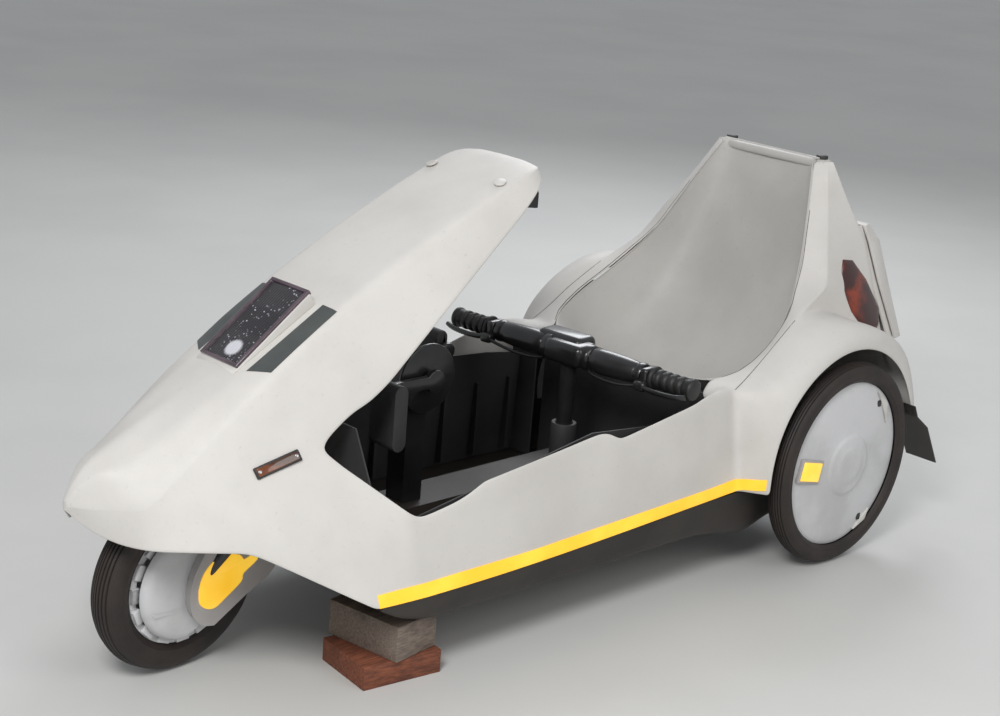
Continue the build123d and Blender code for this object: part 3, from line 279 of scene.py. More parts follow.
def tyre_rubber(name, centre):
    """Rubber whose relief follows rings about the axle, read from the distance to it."""
    finish = Finish(name)
    x, _, z = finish.place.parts()
    across, rise = x - centre.x, z - centre.z
    reach = (across * across + rise * rise).root()
    rings = (reach * RINGS_PER_METRE).sine()
    cloud = finish.place.noise(14.0, 6.0)
    dust = finish.place.noise(160.0, 6.0, 0.7)
    base = cloud.ramp(*CLOUD_STEP).mix(rgb(0.026, 0.018, 0.015), rgb(0.015, 0.011, 0.01))
    finish.feed("Base Color", (dust.ramp(0.55, 0.8) * 0.25).mix(base, rgb(0.09, 0.07, 0.055)))
    finish.feed("Roughness", cloud * 0.2 + 0.5)
    finish.relief(rings * 0.3 + dust, 0.00025, 0.7)
    return finish.material


def glowing(name, low, high, strength):
    """Retroreflective tape, in a fine honeycomb of cells, with a painted glow of emission."""
    finish = Finish(name, Emission_Strength=strength)
    cells = finish.place.node("ShaderNodeTexVoronoi", {}, {"Vector": finish.place, "Scale": 420.0})
    cloud = finish.place.noise(9.0)
    tint = cloud.ramp(0.3, 0.75).mix(low, high)
    finish.feed("Base Color", tint)
    finish.feed("Emission Color", (cells.ramp(0.2, 0.7) * 0.35).mix(tint, low))
    finish.feed("Roughness", cloud * 0.1 + 0.25)
    finish.relief(cells, 0.0001, 0.5)
    return finish.material


def lens(name, low, high, glow):
    """Coloured lamp plastic: dark in its depth, with a few bright facets, under a glossy skin."""
    finish = Finish(name, Coat_Weight=1.0, Coat_Roughness=0.03, Emission_Strength=glow)
    cells = finish.place.node("ShaderNodeTexVoronoi", {}, {"Vector": finish.place, "Scale": 90.0})
    cloud = finish.place.noise(16.0, 1.0)
    tint = (cloud + cells * 0.1).ramp(0.48, 0.85).mix(low, high)
    finish.feed("Base Color", tint)
    finish.feed("Emission Color", tint)
    finish.feed("Roughness", cloud * 0.15 + 0.08)
    finish.relief(cells, 0.0003, 0.5)
    return finish.material


def timber(name, pale, dark, scale):
    """Sawn wood: grain drawn out along X, darker where the noise gathers, and splintery to the touch."""
    finish = Finish(name)
    stretch = {"Vector": finish.place, "Scale": Vector((3.0, 26.0, 26.0)) * scale}
    drawn = finish.place.node("ShaderNodeMapping", {}, stretch)
    grain = drawn.noise(9.0, 8.0, 0.65)
    cloud = finish.place.noise(18.0, 4.0)
    base = grain.ramp(0.32, 0.68).mix(dark, pale)
    finish.feed("Base Color", (cloud.ramp(0.5, 0.75) * 0.6).mix(base, darker(dark, 0.4)))
    finish.feed("Roughness", grain * 0.2 + 0.65)
    finish.relief(grain + cloud * 0.4, 0.0012, 0.9)
    return finish.material


# The tape and the reflectors glow with emission: a painted glow, as they are no lamps.
TAPE_YELLOW = glowing("reflective_tape", rgb(0.82, 0.42, 0.02), rgb(0.88, 0.52, 0.045), 0.7)
REFLECTOR_YELLOW = glowing("yellow_reflector", rgb(0.85, 0.47, 0.025), rgb(0.92, 0.6, 0.08), 0.7)
AMBER = lens("amber_lens", rgb(0.05, 0.012, 0.002), rgb(0.3, 0.07, 0.008), 0.02)
RED_LENS = lens("red_lens", rgb(0.035, 0.004, 0.001), rgb(0.3, 0.035, 0.004), 0.02)
FRONT_TYRE_RUBBER = tyre_rubber("front_tyre_rubber", at(HUB_X, 0, HUB_Z))
REAR_TYRE_RUBBER = tyre_rubber("rear_tyre_rubber", at(0, WHEEL_Y, AXLE_Z))
RED_TIMBER = timber("red_timber", rgb(0.24, 0.075, 0.035), rgb(0.1, 0.03, 0.016), 1.0)
GREY_TIMBER = timber("grey_timber", rgb(0.24, 0.19, 0.15), rgb(0.13, 0.1, 0.085), 1.3)
FRAME_PLUM = worn(
    "lamp_frame", rgb(0.05, 0.03, 0.042), rgb(0.09, 0.06, 0.075), 30.0, 0.2, (0.12, 0.22), 300.0, 0.00004,
    Coat_Weight=0.8, Coat_Roughness=0.06,
)
print(len(bpy.data.materials), "materials in all")

# %% [markdown]
# ## Workshop helpers
# Blender's operators work on whatever is selected, so each helper starts by clearing the selection. They
# are the few hand movements that all the pieces share.

# %% Helpers


def clear():
    bpy.ops.object.select_all(action="DESELECT")


def pick(*objects):
    """Select these objects only, the last one active."""
    clear()
    for item in objects:
        item.hide_set(False)
        item.select_set(True)
        bpy.context.view_layer.objects.active = item


def edit(piece, *steps):
    """Run edit mode steps on all of a piece."""
    pick(piece)
    bpy.ops.object.mode_set(mode="EDIT")
    bpy.ops.mesh.select_all(action="SELECT")
    for step in steps:
        step()
    bpy.ops.object.mode_set(mode="OBJECT")


def merge(gap=0.00005):
    return lambda: bpy.ops.mesh.remove_doubles(threshold=gap)


def outward():
    bpy.ops.mesh.normals_make_consistent(inside=False)


def apply_modifier(piece, kind, **settings):
    """Add a modifier, set it and apply it at once."""
    pick(piece)
    modifier = piece.modifiers.new(kind.title(), kind)
    for name, value in settings.items():
        setattr(modifier, name, value)
    bpy.ops.object.modifier_apply(modifier=modifier.name)


def soften(piece, width, angle=40):
    """Round the edges that turn by more than an angle."""
    limit = radians(angle)
    apply_modifier(piece, "BEVEL", width=width * MM, segments=2, limit_method="ANGLE", angle_limit=limit)


def smooth(piece, angle=35):
    pick(piece)
    bpy.ops.object.shade_smooth_by_angle(angle=radians(angle))


def join(parts):
    """Make several parts one piece, which is the last of them."""
    pick(*parts)
    if len(parts) > 1:
        bpy.ops.object.join()
    return bpy.context.object


def done(piece, name, body, material, replaced=(), angle=35):
    """Name a finished piece, give it its finish and put it on its body."""
    piece.name = piece.data.name = name
    if material:
        piece.data.materials.clear()
        piece.data.materials.append(material)
    smooth(piece, angle)
    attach(piece, body)
    if replaced:
        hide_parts(*replaced)
    low, high = [[round(f(v.co[i] for v in piece.data.vertices), 3) for i in range(3)] for f in (min, max)]
    print(name, len(piece.data.polygons), "faces", low, high)
    return piece


def turned(profile, centre, steps=96):
    """A piece turned about an axis along Y: its outline is drawn with extrude and swept with spin.
    The profile gives radius and y about the centre, in millimetres."""
    cx, cy, cz = centre
    clear()
    bpy.ops.mesh.primitive_plane_add(size=MM, location=(0, 0, 0))
    piece = bpy.context.object
    bpy.ops.object.mode_set(mode="EDIT")
    bpy.ops.mesh.select_all(action="SELECT")
    bpy.ops.mesh.merge(type="CENTER")
    place = Vector((0, 0, 0))
    for i, (radius, y) in enumerate(profile):
        spot = at(cx + radius, cy + y, cz)
        if i == 0:
            bpy.ops.transform.translate(value=spot - place)
        else:
            bpy.ops.mesh.extrude_vertices_move(TRANSFORM_OT_translate={"value": spot - place})
        place = spot
    bpy.ops.mesh.select_all(action="SELECT")
    bpy.ops.mesh.spin(steps=steps, angle=2 * pi, center=at(cx, cy, cz), axis=(0, 1, 0))
    bpy.ops.object.mode_set(mode="OBJECT")
    edit(piece, merge(0.00004), outward)
    return piece


def mirror_copy(piece):
    """A separate copy on the car's other side, with its normals put right."""
    pick(piece)
    bpy.ops.object.duplicate()
    copy = bpy.context.object
    copy.parent = None
    copy.data = copy.data.copy()
    copy.data.transform(Matrix.Scale(-1, 4, Vector((0, 1, 0))))
    copy.data.flip_normals()
    return copy


def pair(piece):
    """One piece of this one and its mirror copy."""
    return join([mirror_copy(piece), piece])


def soft_copy(node, width):
    """A CAD node's copy with its loose triangles joined into flat faces and its edges rounded."""
    pick(nodes[node])
    bpy.ops.object.duplicate()
    piece = bpy.context.object
    piece.parent = None
    for key in list(piece.keys()):
        del piece[key]
    edit(piece, merge(), lambda: bpy.ops.mesh.dissolve_limited(angle_limit=radians(0.6)))
    soften(piece, width, 30)
    return piece


def rounded_block(low, high, width, segments=3):
    """A box between two corners with rounded edges, in millimetres."""
    centre = at(*[(a + b) / 2 for a, b in zip(low, high)])
    clear()
    bpy.ops.mesh.primitive_cube_add(size=1, location=(0, 0, 0))
    piece = bpy.context.object
    size = [(b - a) * MM for a, b in zip(low, high)]
    edit(
        piece, lambda: bpy.ops.transform.resize(value=size),
        lambda: bpy.ops.transform.translate(value=centre),
        lambda: bpy.ops.mesh.bevel(offset=width * MM, segments=segments, affect="EDGES"),
    )
    return piece


print("helpers ready")

# %% [markdown]
# ## The body moulding: how it is laid out
# On the real car the nose, the blade over the knees, the sills, the wheel arches and the sides of the seat
# are one plastic moulding. Joining the CAD's flat shells would leave hard seams, so the left half is laid
# out as one net of four sided faces, mirrored, given a wall and rounded by subdivision. Each patch of the
# net is a grid primitive whose corners are laid on section points.

# %% Sections of the moulding
# Size of the net's cells along the car
CELL = 28.0
# Columns: x, crown z, shoulder half width, shoulder z, crease half width, crease z, edge half width, edge z
NOSE = [
    (1498, 350, 10, 346, 17, 322, 10, 302), (1480, 377, 22, 366, 40, 322, 34, 282),
    (1458, 392, 40, 378, 60, 327, 72, 270), (1436, 405, 51, 381, 88, 326, 112, 270),
    (1419, 414, 54, 389, 98, 336, 129, 270), (1362, 440, 58, 428, 102, 387, 172, 270),
    (1312, 464, 62, 459, 103, 429, 207, 270), (1266, 488, 64, 485, 103, 467, 245, 246),
    (1153, 553, 66, 552, 103, 549, 292, 178), (1130, 567, 66, 566, 103, 563, 300, 165),
]
BLADE = [
    (1130, 567, 66, 566, 103, 563, 192, 390), (1050, 615, 66, 614, 103, 611, 203, 415),
    (921, 683, 66, 682, 103, 679, 190, 512), (763, 756, 66, 755, 103, 752, 158, 642),
    (687, 785, 64, 784, 102, 781, 136, 718), (660, 794, 60, 793, 99, 788, 122, 750),
    (638, 796, 52, 795, 86, 790, 102, 768),
]
# Columns: x, seam half width, seam z, top half width, top z
SILL = [
    (1028, 300, 161, 262, 310), (941, 300, 160, 262, 330), (800, 300, 160, 262, 345),
    (612, 300, 166, 262, 362), (400, 301, 175, 286, 392), (320, 301, 178, 283, 394),
    (257, 301, 181, 270, 374),
]
# Where the seam runs on ahead of the sill. Columns: x, z
SEAM_FRONT = [(1028, 161), (1130, 165)]
# The cockpit opening in side view: its front corner, then the edges above and below it. Columns: x, z
OPENING_X, OPENING_Z = 1160, 402
BLADE_EDGE = [
    (OPENING_X, OPENING_Z), (1100, 445), (1061, 462), (1026, 484), (923, 564), (799, 655), (711, 719),
    (673, 749), (638, 774),
]
SILL_EDGE = [
    (257, 374), (300, 384), (345, 385), (390, 372), (480, 353), (556, 337), (570, 336), (590, 349),
    (612, 351), (720, 338), (862, 322), (885, 320), (905, 311), (941, 299), (1010, 288), (1030, 288),
    (1050, 301), (1131, 373),
]
# Tail, in level slices. Columns: z, front x, front half width, rear corner x, half width there
COWL = [
    (181, 257, 301, -206, 296), (330, 257, 277, -214, 297), (374, 257, 270, -207, 296),
    (400, 208, 267, -204, 294), (430, 165, 265, -197, 278), (464, 113, 260, -190, 262),
    (530, -21, 245, -186, 241), (600, -54, 212, -180, 216), (669, -90, 177, -160, 180),
    (750, -124, 138, -133, 147),
]
# Seat. Columns: dish centre x, z, rim x, z, rim half width, dish half width, height of the dish edge
SEAT = [
    (262, 366, 256, 376, 205, 150, 2), (205, 318, 214, 393, 236, 172, 24),
    (120, 296, 150, 428, 244, 185, 34), (20, 344, 72, 478, 229, 182, 36),
    (-58, 470, -8, 562, 189, 158, 24), (-104, 622, -62, 664, 152, 128, 14),
    (-127, 742, -106, 748, 119, 100, 6), (-133, 751, -118, 755, 120, 104, 2),
    (-146, 748, -142, 752, 118, 104, 1),
]
# Height on the crest that each place of the seat's rim meets
BAND_Z = [374, 398, 430, 480, 530, 650, 750]
# Mouth of the boot in the rear wall: lower and upper z, half width
MOUTH_LOW, MOUTH_HIGH, MOUTH_HALF = 440, 600, 175
# Wheel arch: lip circle, then by angle the reach beyond the lip and half width of the bend
ARCH_X, ARCH_Z, ARCH_RADIUS, LIP_Y = 5, 208, 226, 358
BEND = [
    (-6, 13, 332), (10, 15, 330), (25, 30, 330), (40, 38, 330), (55, 38, 330), (70, 38, 332), (85, 40, 334),
    (100, 40, 336), (115, 42, 340), (130, 44, 342), (145, 36, 341), (164, 22, 340),
]


def counts(points):
    """How many cells fit between each point and the next."""
    return [max(1, round((b - a).length / (CELL * MM))) for a, b in zip(points, points[1:])]


def straight(points, steps):
    """Points along straight runs, with a given number of cells in each."""
    line = [points[0]]
    for a, b, n in zip(points, points[1:], steps):
        line += [a.lerp(b, (i + 1) / n) for i in range(n)]
    return line


def curved(points, steps):
    """Points along a smooth curve through all of the given ones."""
    padded = [points[0] * 2 - points[1]] + list(points) + [points[-1] * 2 - points[-2]]
    line = [points[0]]
    for i, n in enumerate(steps):
        a, b, c, d = padded[i:i + 4]
        for k in range(1, n + 1):
            t = k / n
            bend, swing = a * 2 - b * 5 + c * 4 - d, b * 3 - a - c * 3 + d
            line.append(((b * 2) + (c - a) * t + bend * t * t + swing * t ** 3) / 2)
    return line


def patch(rows):
    """A sheet of four sided faces: a grid primitive with its corners laid on rows of points."""
    clear()
    bpy.ops.mesh.primitive_grid_add(x_subdivisions=len(rows[0]) - 1, y_subdivisions=len(rows) - 1, size=1)
    sheet = bpy.context.object
    spots = [point for row in rows for point in row]
    assert len(spots) == len(sheet.data.vertices), (len(spots), len(sheet.data.vertices))
    for vertex, spot in zip(sheet.data.vertices, spots):
        vertex.co = spot
    return sheet


def filled(columns, steps):
    """A patch between long lines that have the same number of points, with cells added across it."""
    return patch([straight(list(row), steps) for row in zip(*columns)])


# %% [markdown]
# ## Nose, blade and sills
# The crown, the soft shoulder and the crease run from the tip to the end of the blade. The cockpit opening
# splits the flank below the crease at one point, from which the blade's edge climbs and the sill's falls.

# %% Lay out the front half


def top_at(x, column):
    rows = NOSE if x >= NOSE[-1][0] else BLADE
    return between(rows, x, column)


def flank_point(x, z):
    """The flat side below the crease, at a height."""
    crease_y, crease_z, edge_y, edge_z = [top_at(x, column) for column in (4, 5, 6, 7)]
    share = (crease_z - z) / (crease_z - edge_z)
    return at(x, crease_y + (edge_y - crease_y) * share, z)


def sill_point(x, z):
    """The sill's outer side, at a height."""
    seam_y, seam_z, top_y, top_z = [between(SILL, x, column) for column in (1, 2, 3, 4)]
    return at(x, seam_y + (top_y - seam_y) * (z - seam_z) / (top_z - seam_z), z)


def top_lines(xs):
    """Crown, shoulder and crease over a list of x."""
    crown = [at(x, 0, top_at(x, 1)) for x in xs]
    shoulder = [at(x, top_at(x, 2), top_at(x, 3)) for x in xs]
    crease = [at(x, top_at(x, 4), top_at(x, 5)) for x in xs]
    return crown, shoulder, crease


def seam_height(x):
    """Height of the seam between the body and the tray."""
    return between(SILL, x, 2) if x < SEAM_FRONT[0][0] else between(SEAM_FRONT, x, 1)


# Share of the flank's height that lies above the opening's corner
SPLIT_SHARE = (top_at(OPENING_X, 5) - OPENING_Z) / (top_at(OPENING_X, 5) - top_at(OPENING_X, 7))
# Cells from the crown to the crease, then above and below the opening's corner
TOP_STEPS, UPPER_STEPS, LOWER_STEPS = [3, 2], [6], [7]
# The blunt end of the nose, for the five lines that run into it. Columns: y, z
TIP_X = 1508
TIP = [(0, 331), (5, 329), (8, 322), (6.6, 317), (5, 314)]
nose_xs = [row[0] for row in NOSE if row[0] > OPENING_X] + [OPENING_X]
crown, shoulder, crease = top_lines(nose_xs)
edge = [at(x, top_at(x, 6), top_at(x, 7)) for x in nose_xs]
split = [a.lerp(b, SPLIT_SHARE) for a, b in zip(crease, edge)]
lines = []
for line, (y, z) in zip((crown, shoulder, crease, split, edge), TIP):
    steps = [1, 1] + counts(crown)
    lines.append(straight([at(TIP_X + 0.5, 0, z), at(TIP_X, y, z)] + line, steps))
nose_sheet = filled(lines, TOP_STEPS + UPPER_STEPS + LOWER_STEPS)

blade_xs = [OPENING_X, 1130, 1100, 1061, 1026, 923, 799, 711, 687, 660, 638]
crown, shoulder, crease = top_lines(blade_xs)
edge = [flank_point(x, between(BLADE_EDGE, x, 1)) for x in blade_xs]
blade_steps = counts(crown)
lines = [straight(line, blade_steps) for line in (crown, shoulder, crease, edge)]
blade_sheet = filled(lines, TOP_STEPS + UPPER_STEPS)

sill_xs = [OPENING_X] + [x for x, z in SILL_EDGE[::-1]]
top, seam = [], []
for x in sill_xs:
    z = OPENING_Z if x == OPENING_X else between(SILL_EDGE, x, 1)
    top.append(flank_point(x, z) if x > SILL_EDGE[-2][0] else sill_point(x, z))
    if x > NOSE[-1][0]:
        seam.append(at(x, top_at(x, 6), top_at(x, 7)))
    else:
        seam.append(at(x, between(SILL, x, 1), between(SILL, x, 2)))
sill_steps = counts(top)
sill_sheet = filled([straight(top, sill_steps), straight(seam, sill_steps)], LOWER_STEPS)
print("front net:", [len(s.data.polygons) for s in (nose_sheet, blade_sheet, sill_sheet)], "faces")

# %% [markdown]
# ## Wheel arch, rim band and tail
# The arch is a fan about the wheel. Its foot follows the sill's rear edge, then the crest beside the seat,
# then the tail's side, so that each neighbour shares its corners. The band between the seat and the crest
# and the tail's side are level nets that end on the same corners.

# %% Lay out the rear half
FAN_CELLS = 5


def crest(z):
    """Front edge of the tail's side at a height."""
    return at(between(COWL, z, 1), between(COWL, z, 2), z)


def side(x, z):
    """The tail's side, between its front and rear edges."""
    front_x, front_y, rear_x, rear_y = [between(COWL, z, column) for column in (1, 2, 3, 4)]
    return at(x, front_y + (rear_y - front_y) * (x - front_x) / (rear_x - front_x), z)


def corner(z):
    return at(between(COWL, z, 3), between(COWL, z, 4), z)


def fan_row(angle, foot):
    """Across the arch from its foot to its lip, on a curve through the bend."""
    a = radians(angle)
    reach, bend_y = between(BEND, angle, 1), between(BEND, angle, 2)
    bend_spot = at(ARCH_X + (ARCH_RADIUS + reach) * cos(a), bend_y, ARCH_Z + (ARCH_RADIUS + reach) * sin(a))
    lip = at(ARCH_X + ARCH_RADIUS * cos(a), LIP_Y, ARCH_Z + ARCH_RADIUS * sin(a))
    pull = bend_spot * 2 - (foot + lip) / 2
    shares = [i / FAN_CELLS for i in range(FAN_CELLS + 1)]
    return [foot * (1 - t) ** 2 + pull * 2 * t * (1 - t) + lip * t * t for t in shares]


def angle_of(spot):
    return degrees(atan2(spot.z / MM - ARCH_Z, spot.x / MM + FRAME_X - ARCH_X))


# Heights of the crest's points. The arch ends at the fourth, and a line runs back from the next one
HALF_WAY_Z = 505
crest_zs = [374, 398, 430, 480, HALF_WAY_Z, 530, 600, 669, 750]
CREST_STEPS = [2, 2, 3, 2, 2, 3, 3, 3]
crest_line = curved([crest(z) for z in crest_zs], CREST_STEPS)
ARCH_TOP = sum(CREST_STEPS[:3])

rim_spots = [at(rim_x, rim_y, rim_z) for _, _, rim_x, rim_z, rim_y, _, _ in SEAT]


def rim_at(z):
    """Place of the seat's rim that meets the crest at this height."""
    for a, b, low, high in zip(rim_spots, rim_spots[1:], BAND_Z, BAND_Z[1:]):
        if z <= high:
            return a.lerp(b, (z - low) / (high - low))
    return rim_spots[-1]


rim_line = curved([rim_at(z) for z in crest_zs], CREST_STEPS)
band_sheet = filled([rim_line, crest_line], [3])

# The gusset closes the corner between the sill and the seat, low enough for the grips to pass over it
gusset_steps = sill_steps[-1:-3:-1]
gusset_inner = straight([rim_line[0], at(300, 226, 364), at(336, 262, 366)], gusset_steps)
gusset_sheet = filled([gusset_inner, straight(top[-1:-4:-1], gusset_steps)], [3])

sill_rear = straight([top[-1], seam[-1]], LOWER_STEPS)
# Where the arch meets the tail's side. Columns: x, z
SIDE_FEET = [(5, 487), (-58, 466), (-118, 434), (-172, 392)]
SIDE_FOOT_Z = 340
side_feet = [crest_line[ARCH_TOP]] + [side(x, z) for x, z in SIDE_FEET] + [corner(SIDE_FOOT_Z)]
FOOT_STEPS = [3, 2, 2, 2, 2]
side_line = curved(side_feet, FOOT_STEPS)
feet = [(angle_of(spot), spot) for spot in sill_rear[::-1] + crest_line[1:ARCH_TOP + 1] + side_line[1:]]
# The arch's last rows behind the tail's corner, by angle
feet += [(157, at(-224, 280, 306)), (164, at(-230, 268, 280))]
arch_sheet = patch([fan_row(angle, foot) for angle, foot in feet])

half_way = [(-8, 508), (-62, 498), (-112, 486), (-155, 472), (-190, 464)]
middle = curved([crest(HALF_WAY_Z)] + [side(x, z) for x, z in half_way], FOOT_STEPS)
upper = []
for z in (530, 600, 669, 750):
    front, rear = crest(z), corner(z)
    upper.append(curved([front.lerp(rear, i / 5) for i in range(6)], FOOT_STEPS))
columns = [list(column) for column in zip(side_line, middle, *upper)]
side_columns = [straight(column, [2, 2, 3, 3, 3]) for column in columns]
side_columns[0] = crest_line[ARCH_TOP:]
side_sheet = patch([list(row) for row in zip(*side_columns)])

lower_corner = straight([corner(SIDE_FOOT_Z), corner(250), corner(COWL[0][0])], [3, 2])
wall_rows = []
for spot in lower_corner[::-1] + side_columns[-1][1:]:
    inner = Vector((spot.x, min(MOUTH_HALF * MM, spot.y * 0.85), spot.z))
    wall_rows.append(straight([spot, inner, Vector((spot.x, 0, spot.z))], [4, 6]))
wall_sheet = patch(wall_rows)
print("rear net:", [len(s.data.polygons) for s in (band_sheet, arch_sheet, side_sheet, wall_sheet)], "faces")

# %% [markdown]
# ## Join, mirror, thicken and round
# The nets are joined and their shared corners merged. The boot's mouth is cut by deleting faces of the rear
# wall. The mirror comes before the wall gets its thickness, and the normals are set between the two, so
# that the thickness goes inwards everywhere. Two levels of subdivision then round every edge a little.

# %% Make the body moulding
BODY_WALL, SEAT_WALL, TRAY_WALL = 4.5, 4, 3.5
UPWARDS = Vector((0, 0, 1))


def select_faces(piece, test):
    """Enter edit mode with only the faces selected that pass a test."""
    mesh = bpy.ops.mesh
    edit(piece, lambda: mesh.select_mode(type="FACE"), lambda: mesh.select_all(action="DESELECT"))
    for polygon in piece.data.polygons:
        polygon.select = test(polygon)
    bpy.ops.object.mode_set(mode="EDIT")


def delete_faces(piece, test):
    """Delete the faces whose middle passes a test."""
    select_faces(piece, lambda polygon: test(polygon.center))
    bpy.ops.mesh.delete(type="FACE")
    bpy.ops.mesh.select_mode(type="VERT")
    bpy.ops.object.mode_set(mode="OBJECT")


def in_mouth(spot):
    return MOUTH_LOW * MM < spot.z < MOUTH_HIGH * MM and abs(spot.y) < MOUTH_HALF * MM


def face_up(piece, probe, way):
    """Turn all the normals round if the face nearest the probe looks the wrong way."""
    nearest = min(piece.data.polygons, key=lambda polygon: (polygon.center - probe).length)
    if nearest.normal.dot(way) < 0:
        edit(piece, bpy.ops.mesh.flip_normals)


def moulded(half, wall, levels, probe, way, clamp=0.0):
    """Mirror a half net, give it its wall inwards and round it. The probe lies outside, the given way."""
    apply_modifier(half, "MIRROR", use_axis=(False, True, False), use_clip=True, merge_threshold=0.0005)
    edit(half, merge(0.0002), outward)
    face_up(half, probe, way)
    apply_modifier(half, "SOLIDIFY", thickness=wall * MM, offset=-1, thickness_clamp=clamp)
    apply_modifier(half, "SUBSURF", levels=levels, render_levels=levels)
    return half


delete_faces(wall_sheet, in_mouth)
front_sheets = [nose_sheet, blade_sheet, sill_sheet, gusset_sheet]
body = join(front_sheets + [band_sheet, arch_sheet, side_sheet, wall_sheet])
edit(body, merge(0.0004))
body = moulded(body, BODY_WALL, 2, at(1130, 0, 567), UPWARDS, 0.7)
body_nodes = ["nose_shell", "canopy_blade", "sill_left", "sill_right", "tail_cowl", "seat_bands"]
body_nodes += ["wheel_arch_left", "wheel_arch_right"]
done(body, "body_moulding", "root", SHELL_WHITE, body_nodes, 60)

# %% [markdown]
# ## The seat
# The seat is the same plastic in a darker grey, dished like a shallow scoop with a soft roll at its rim.
# It is a net of cross sections bent on smooth curves, so that no facet shows in the hollow. Its rim is
# tucked just inside the band, as the two meet on the real moulding.

# %% Make the seat
SEAT_STEPS = [3, 4, 4, 5, 5, 5, 2, 2]
# How far the rim stays inside the band, and how far it rolls out and down beyond it
TUCK = 0.8
ROLL_OUT, ROLL_DOWN = 1, 5


def seat_rows():
    """Lines across the seat, from the left rim over the dish's edge to the middle."""
    rows = []
    for centre_x, centre_z, rim_x, rim_z, rim_y, dish_y, dish_up in SEAT:
        up_x, up_z = rim_x - centre_x, rim_z - centre_z
        depth = hypot(up_x, up_z)
        spots = [(rim_y - TUCK, depth - TUCK), ((rim_y + dish_y) / 2 + 1, (depth + dish_up) * 0.44)]
        spots += [(dish_y - 8, dish_up * 0.72), (dish_y * 0.5, 2), (0, 0)]
        rows.append([at(centre_x + up_x / depth * up, y, centre_z + up_z / depth * up) for y, up in spots])
    return rows


seat_columns = [curved(list(column), SEAT_STEPS) for column in zip(*seat_rows())]
seat_lines = [curved(list(row), [3, 3, 3, 3]) for row in zip(*seat_columns)]
for line in seat_lines:
    line.insert(0, line[0] + (line[0] - line[1]).normalized() * ROLL_OUT * MM - UPWARDS * ROLL_DOWN * MM)
seat = moulded(patch(seat_lines), SEAT_WALL, 2, at(150, 0, 310), UPWARDS)
done(seat, "seat_moulding", "root", SEAT_GREY, ["seat_bucket"], 60)

# %% [markdown]
# ## The lower tray
# Under the seam the body is closed by a dark tray, folded up at its front end and swollen under the seat.
# It is a net like the body's. One level of subdivision is enough for its soft corners.

# %% Make the tray
# Columns: x, seam half width, floor half width, floor z
TRAY = [
    (1122, 299, 295, 158), (1066, 300, 286, 124), (1000, 300, 280, 104), (326, 300, 280, 97),
    (200, 302, 288, 75), (130, 302, 286, 96), (-150, 300, 282, 110), (-206, 294, 286, 172),
]
TRAY_STEPS = [2, 2, 12, 3, 2, 7, 2]
seam_line, bend_line, floor_line = [], [], []
for x, seam_y, floor_y, floor_z in TRAY:
    seam_line.append(at(x, seam_y, seam_height(x)))
    bend_line.append(at(x, floor_y, floor_z))
    floor_line.append(at(x, 0, floor_z))
tray = filled([straight(line, TRAY_STEPS) for line in (seam_line, bend_line, floor_line)], [3, 8])
moulded(tray, TRAY_WALL, 1, at(600, 0, 97), -UPWARDS)
done(tray, "tray_moulding", "root", TRAY_BLACK, ["lower_tray"], 60)

# %% [markdown]
# ## Wheels and tyres
# A wheel is turned, like a pot: its outline is drawn once and spun about the axle. The tyres have ribs
# round the tread and a ring on the side wall, so the same outline serves all three, drawn out to size.

# %% Turn the tyres
# Half outline of the rear tyre, from the bead to the middle of the tread. Columns: radius, half width
TYRE_OUTLINE = [
    (165, 14), (168, 18.5), (172, 20.6), (173, 21.6), (174.5, 21.2), (180, 22.4), (186, 22.5),
    (191, 21.2), (195.5, 18.6), (198.2, 16), (196.6, 15.2), (196.9, 14), (199.4, 13.4), (200.6, 11),
    (198.8, 10.3), (198.9, 9.2), (201.3, 8.5), (202, 6), (200.2, 5.3), (200.3, 4.2), (202.5, 3.6),
    (203, 1.2), (201.6, 0.7), (201.6, 0),
]
# The size that the outline above is drawn at: radius, width and height
REAR_TYRE = (203, 45, 38)
FRONT_TYRE = (158.5, 57, 50)
TYRE_STEPS = 120


def tyre(radius, width, height, centre):
    """A tyre of this size, with the outline above drawn out to its width and height."""
    full_radius, full_width, full_height = REAR_TYRE
    tall, wide = height / full_height, width / full_width
    half = [(radius - (full_radius - r) * tall, y * wide) for r, y in TYRE_OUTLINE]
    return turned(half + [(r, -y) for r, y in half[-2::-1]], centre, TYRE_STEPS)


def on_rear_wheels(piece, name, material, node):
    """A piece on the left rear wheel, and a mirror copy of its own on the right one."""
    for part, way in ((piece, "left"), (mirror_copy(piece), "right")):
        done(part, f"{name}_{way}", way + "_rear_wheel", material, [f"{node}_{way}"])


on_rear_wheels(tyre(*REAR_TYRE, (0, WHEEL_Y, AXLE_Z)), "tyre", REAR_TYRE_RUBBER, "rear_tyre")

# %% [markdown]
# ## The rear wheel covers
# The rear wheels carry a domed plastic cover with a round boss, a square reflector in a grey gasket and two
# small vents near its edge. The dome is turned like the tyre. The small parts are joined to it before the
# mirror copy, so that both covers are the same.

# %% Turn the rear wheel covers
# Columns: radius, y from the middle of the tyre
COVER_OUTLINE = [
    (8.5, -15.75), (32, -15.75), (32, -4), (36, -3), (149, -1.75), (157, -15.75), (165, -15.75),
    (165, 10.5), (163.5, 11.6), (158, 13), (151, 15), (130, 17.2), (105, 19.2), (80, 20.8), (64, 21.6),
    (61.5, 22.4), (59.5, 23.6), (56, 25), (52, 25.8), (40, 26.6), (37, 27.6), (34, 28.4), (22, 28.9),
    (6, 29), (0.5, 29),
]
# The reflector's middle, half length, half height and tilt; the wheel is parked a little turned
REFLECTOR_X, REFLECTOR_Z = 118, 212
REFLECTOR_HALF, REFLECTOR_RISE, REFLECTOR_TILT = 29, 18.5, radians(-13)
BEZEL = 5
# The vents: a black block as painted shade for the hole, and a pale wedge. Columns: x, z of the hole, then
# the wedge's corners
VENTS = [((-88, 312), [(-80, 337), (-113, 309), (-117, 268), (-103, 298)]),
         ((-68, 80), [(-54, 56), (-88, 70), (-98, 92), (-76, 76)])]
VENT_Y = 359.4


